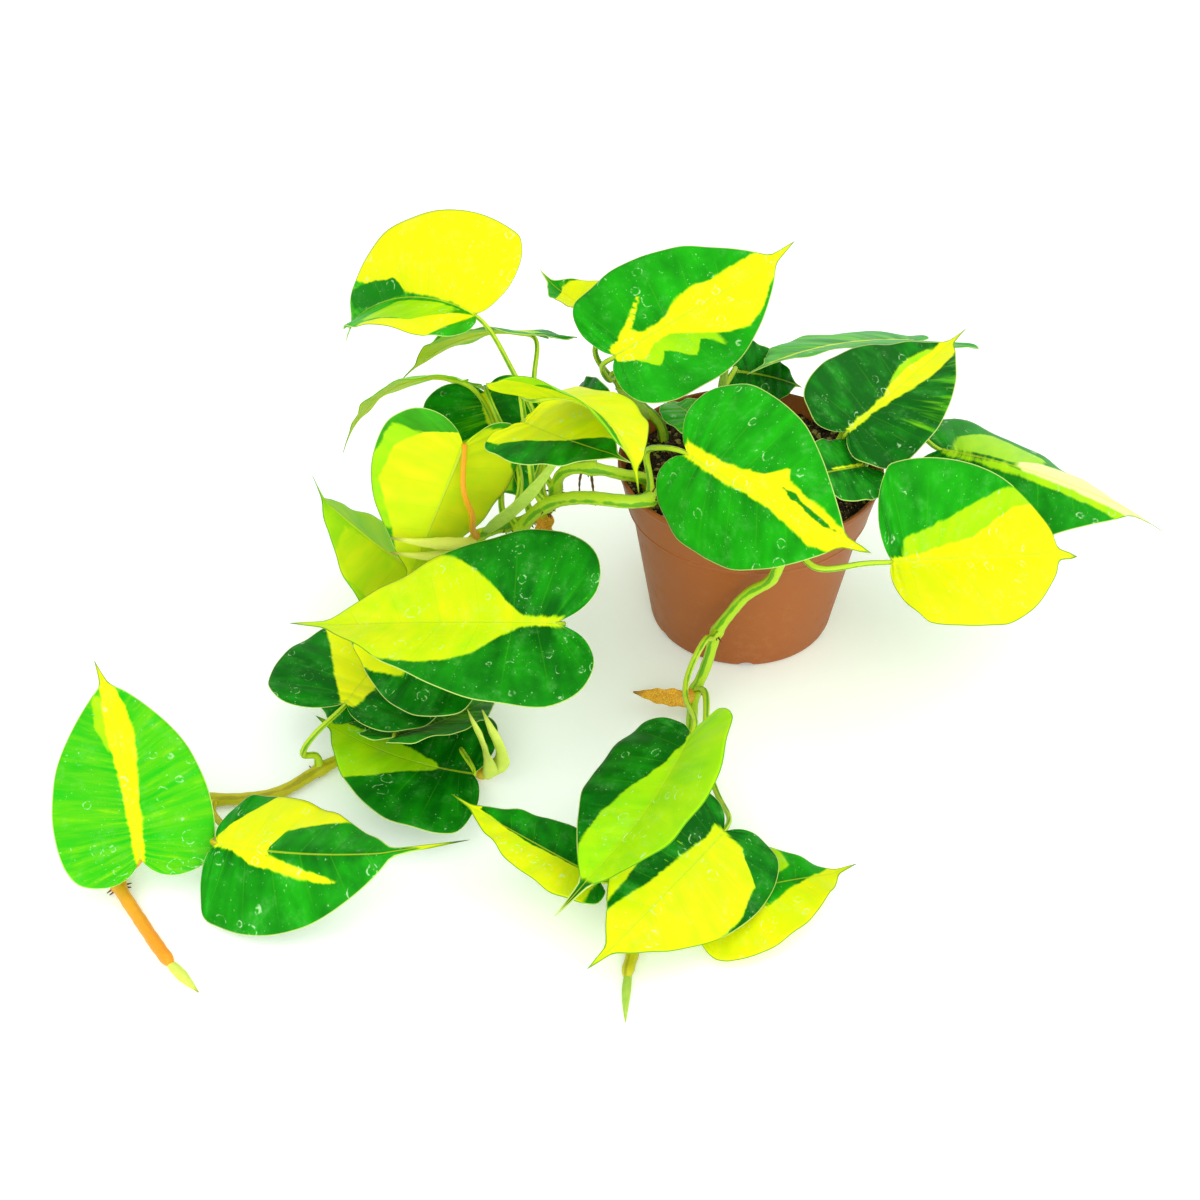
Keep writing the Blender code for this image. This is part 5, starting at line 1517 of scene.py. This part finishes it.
def soilLift(x, y, height):
    if height < soilShape["top"]:
        return 0.0
    broad = math.sin(x * 0.31 + 1.0) + math.sin(y * 0.37 - x * 0.12)
    broad += math.sin((x + y) * 0.19 + 2.0)
    small = math.sin(x * 1.7 + 0.4 * y) * math.sin(y * 1.9 - 0.3 * x)
    small += 0.6 * math.sin(x * 3.1) * math.sin(y * 2.7 + 1)
    edge = min(1.0, (potShape["rimRadius"] - math.hypot(x, y)) / soilShape["calmEdge"])
    return edge * (soilShape["swells"] * broad / 2 + soilShape["lumps"] * small)


def buildSoilSkins():
    ground, tree, shader = newMaterial("pottingSoil", Specular_IOR_Level=0.15)
    place = objectPlace(tree)
    clods = noise(place, 0.5, 4.0, 0.7)
    grit = noise(place, 2.2, 3.0, 0.7)
    colour = mixColour(clods, *soilColours["clod"])
    colour = mixColour(smoothStep(grit, 0.66, 0.74, 0.0, 0.6), colour, soilColours["grit"])
    height = plus(clods, times(grit, 0.5))
    linkSurface(shader, colour, smoothStep(clods, 0.3, 0.7, 0.8, 0.98), height, 0.9)
    # each crumb has its own tint, and the palest look like bark and perlite
    crumb, tree, shader = newMaterial("soilCrumb", Specular_IOR_Level=0.2)
    tint = readAttribute(tree, "tint")
    grain = noise(objectPlace(tree), 2.4, 3.0, 0.7)
    colour = mixColour(smoothStep(tint, 0.0, 0.7), *soilColours["crumb"])
    colour = mixColour(smoothStep(tint, 0.62, 0.8), colour, soilColours["pale"])
    colour = mixColour(times(grain, 0.4), colour, soilColours["shade"])
    linkSurface(shader, colour, smoothStep(grain, 0.3, 0.7, 0.75, 0.95), grain, 0.3)
    return ground, crumb


def buildCrumbTree():
    # crumbs strewn over the soil's upper side
    tree, names, given = newShapeTree("strewCrumbs", [
        ("Per Square Metre", "Float"), ("Smallest", "Float"), ("Largest", "Float"),
        ("Seed", "Int")])

    def above(kind, least):
        # whether the up part of a field is more than the least
        field = splitVector(addNode(tree, kind).outputs[0])
        return addNode(tree, "FunctionNodeCompare", {0: field["Z"], 1: least}, data_type="FLOAT",
                       operation="GREATER_THAN").outputs[0]

    def between(pair, seed, kind="FLOAT_VECTOR"):
        # a random value; the node has one set of sockets for vectors and another for numbers
        first, result = (0, 0) if kind == "FLOAT_VECTOR" else (2, 1)
        return addNode(tree, "FunctionNodeRandomValue",
                       {first: pair[0], first + 1: pair[1], "Seed": seed},
                       data_type=kind).outputs[result]

    top = addNode(tree, "FunctionNodeBooleanMath",
                  {0: above("GeometryNodeInputNormal", 0.5),
                   1: above("GeometryNodeInputPosition", soilShape["lowest"] * mm)},
                  operation="AND")
    points = addNode(tree, "GeometryNodeDistributePointsOnFaces",
                     {"Mesh": given["Geometry"], "Selection": top.outputs[0],
                      "Density": given["Per Square Metre"], "Seed": given["Seed"]})
    scale = addNode(tree, "ShaderNodeVectorMath",
                    {0: between(soilShape["crumbScale"], 5),
                     "Scale": between((given["Smallest"], given["Largest"]), 3, "FLOAT")},
                    operation="SCALE")
    crumb = addNode(tree, "GeometryNodeMeshIcoSphere", {"Radius": 1.0, "Subdivisions": 1})
    placed = addNode(tree, "GeometryNodeInstanceOnPoints",
                     {"Points": points.outputs[0], "Instance": crumb.outputs[0],
                      "Rotation": between(soilShape["crumbTurn"], 9), "Scale": scale.outputs[0]})
    marked = addNode(tree, "GeometryNodeStoreNamedAttribute",
                     {"Geometry": placed.outputs[0], "Name": "tint",
                      "Value": between((0.0, 1.0), 21, "FLOAT")},
                     data_type="FLOAT", domain="INSTANCE")
    endShapeTree(tree, marked.outputs[0], given)
    return tree, names


def buildSoil():
    shape = soilShape
    ground, crumb = buildSoilSkins()
    # the soil follows the pot's inside, a gap away
    floor, corner = potShape["floor"], potShape["corner"]
    gap, slack = shape["gap"], shape["slack"]
    top = potInside(shape["top"]) - gap - slack
    low = potInside(floor) - potShape["floorInset"] - gap
    outside = [(0, floor + gap), (low, floor + gap)]
    for height in (floor + corner, bandLow - potShape["shoulder"], bandLow + 0.5):
        outside.append((potInside(height) - gap - slack, height + slack))
    outside.append((top, shape["top"] - 0.5))
    crown = [(top * share, shape["top"]) for share in np.linspace(0.985, 0, shape["rings"])]
    body = revolve(outside + crown, shape["sides"], ground, soilLift)
    bed = makePiece("fineSoil", [body], shape["sharpAngle"])
    settle(bed, "soil")
    strewTree, names = buildCrumbTree()
    smallest, largest = shape["crumbSize"]
    strewn = runNodes(addObject("strewn", bed.data.copy()), strewTree, {
        names["Per Square Metre"]: shape["crumbs"] / (math.pi * (top * mm) ** 2),
        names["Smallest"]: smallest * mm, names["Largest"]: largest * mm,
        names["Seed"]: shape["seed"], names["Skin"]: crumb})
    loose = addObject("soilCrumbs", strewn)
    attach(loose, "root")


buildSoil()
print("soil")


# Studio, with its lengths in metres

studio = {
    "floorSize": 40.0,
    "floorColours": ((0.9, 0.94, 0.91, 1), (0.93, 0.95, 0.93, 1)),
    # the floor paper glows faintly: painted light that lifts the shadows on it
    "floorGlow": (0.86, 1.0, 0.92, 1),
    "glowStrength": 0.16,
    "lens": 49.5,
    "sensor": 36.0,
    "clip": (0.02, 50.0),
    "cameraPlace": (-0.068, -0.613, 0.517),
    "cameraTilt": 50.1,
    "world": 1.0,
    "lampsAim": (-0.05, -0.05, 0.05),
    "lamps": (  # place, size, power
        ((-0.7, -0.7, 1.5), 1.2, 3.5),
        ((0.9, 0.1, 1.3), 1.2, 7.5),
        ((0.0, -1.5, 0.6), 1.0, 13.0),
    ),
}


def buildFloor():
    size = studio["floorSize"] / 2
    mesh = bpy.data.meshes.new("studioFloor")
    corners = [(-size, -size, 0), (size, -size, 0), (size, size, 0), (-size, size, 0)]
    mesh.from_pydata(corners, [], [(0, 1, 2, 3)])
    # the paper's faint glow is painted light, which lifts the shadows on the floor
    material, tree, shader = newMaterial(
        "studioPaper", Roughness=0.8, Specular_IOR_Level=0.1,
        Emission_Color=studio["floorGlow"], Emission_Strength=studio["glowStrength"])
    cloud = noise(addNode(tree, "ShaderNodeTexCoord").outputs["Object"], 1.5, 2.0, 0.5)
    tree.links.new(mixColour(cloud, *studio["floorColours"]), shader["Base Color"])
    mesh.materials.append(material)
    addObject("studioFloor", mesh)


def buildLights():
    world = bpy.data.worlds.new("studioWorld")
    world.use_nodes = True
    background = world.node_tree.nodes["Background"].inputs
    background["Color"].default_value = (1, 1, 1, 1)
    background["Strength"].default_value = studio["world"]
    bpy.context.scene.world = world
    for index, (place, width, power) in enumerate(studio["lamps"], start=1):
        lamp = bpy.data.lights.new("lamp" + str(index), "AREA")
        lamp.size, lamp.energy = width, power
        holder = addObject("lamp" + str(index), lamp)
        holder.location = place
        aim = Vector(studio["lampsAim"]) - Vector(place)
        holder.rotation_euler = aim.to_track_quat("-Z", "Y").to_euler()


def buildCamera():
    camera = bpy.data.cameras.new("camera")
    camera.lens, camera.sensor_width = studio["lens"], studio["sensor"]
    camera.clip_start, camera.clip_end = studio["clip"]
    holder = addObject("camera", camera)
    holder.location = studio["cameraPlace"]
    holder.rotation_euler = (math.radians(studio["cameraTilt"]), 0, 0)
    bpy.context.scene.camera = holder
    bpy.context.scene.view_settings.view_transform = "Standard"


buildFloor()
buildLights()
buildCamera()
print("studio")

bpy.context.view_layer.update()
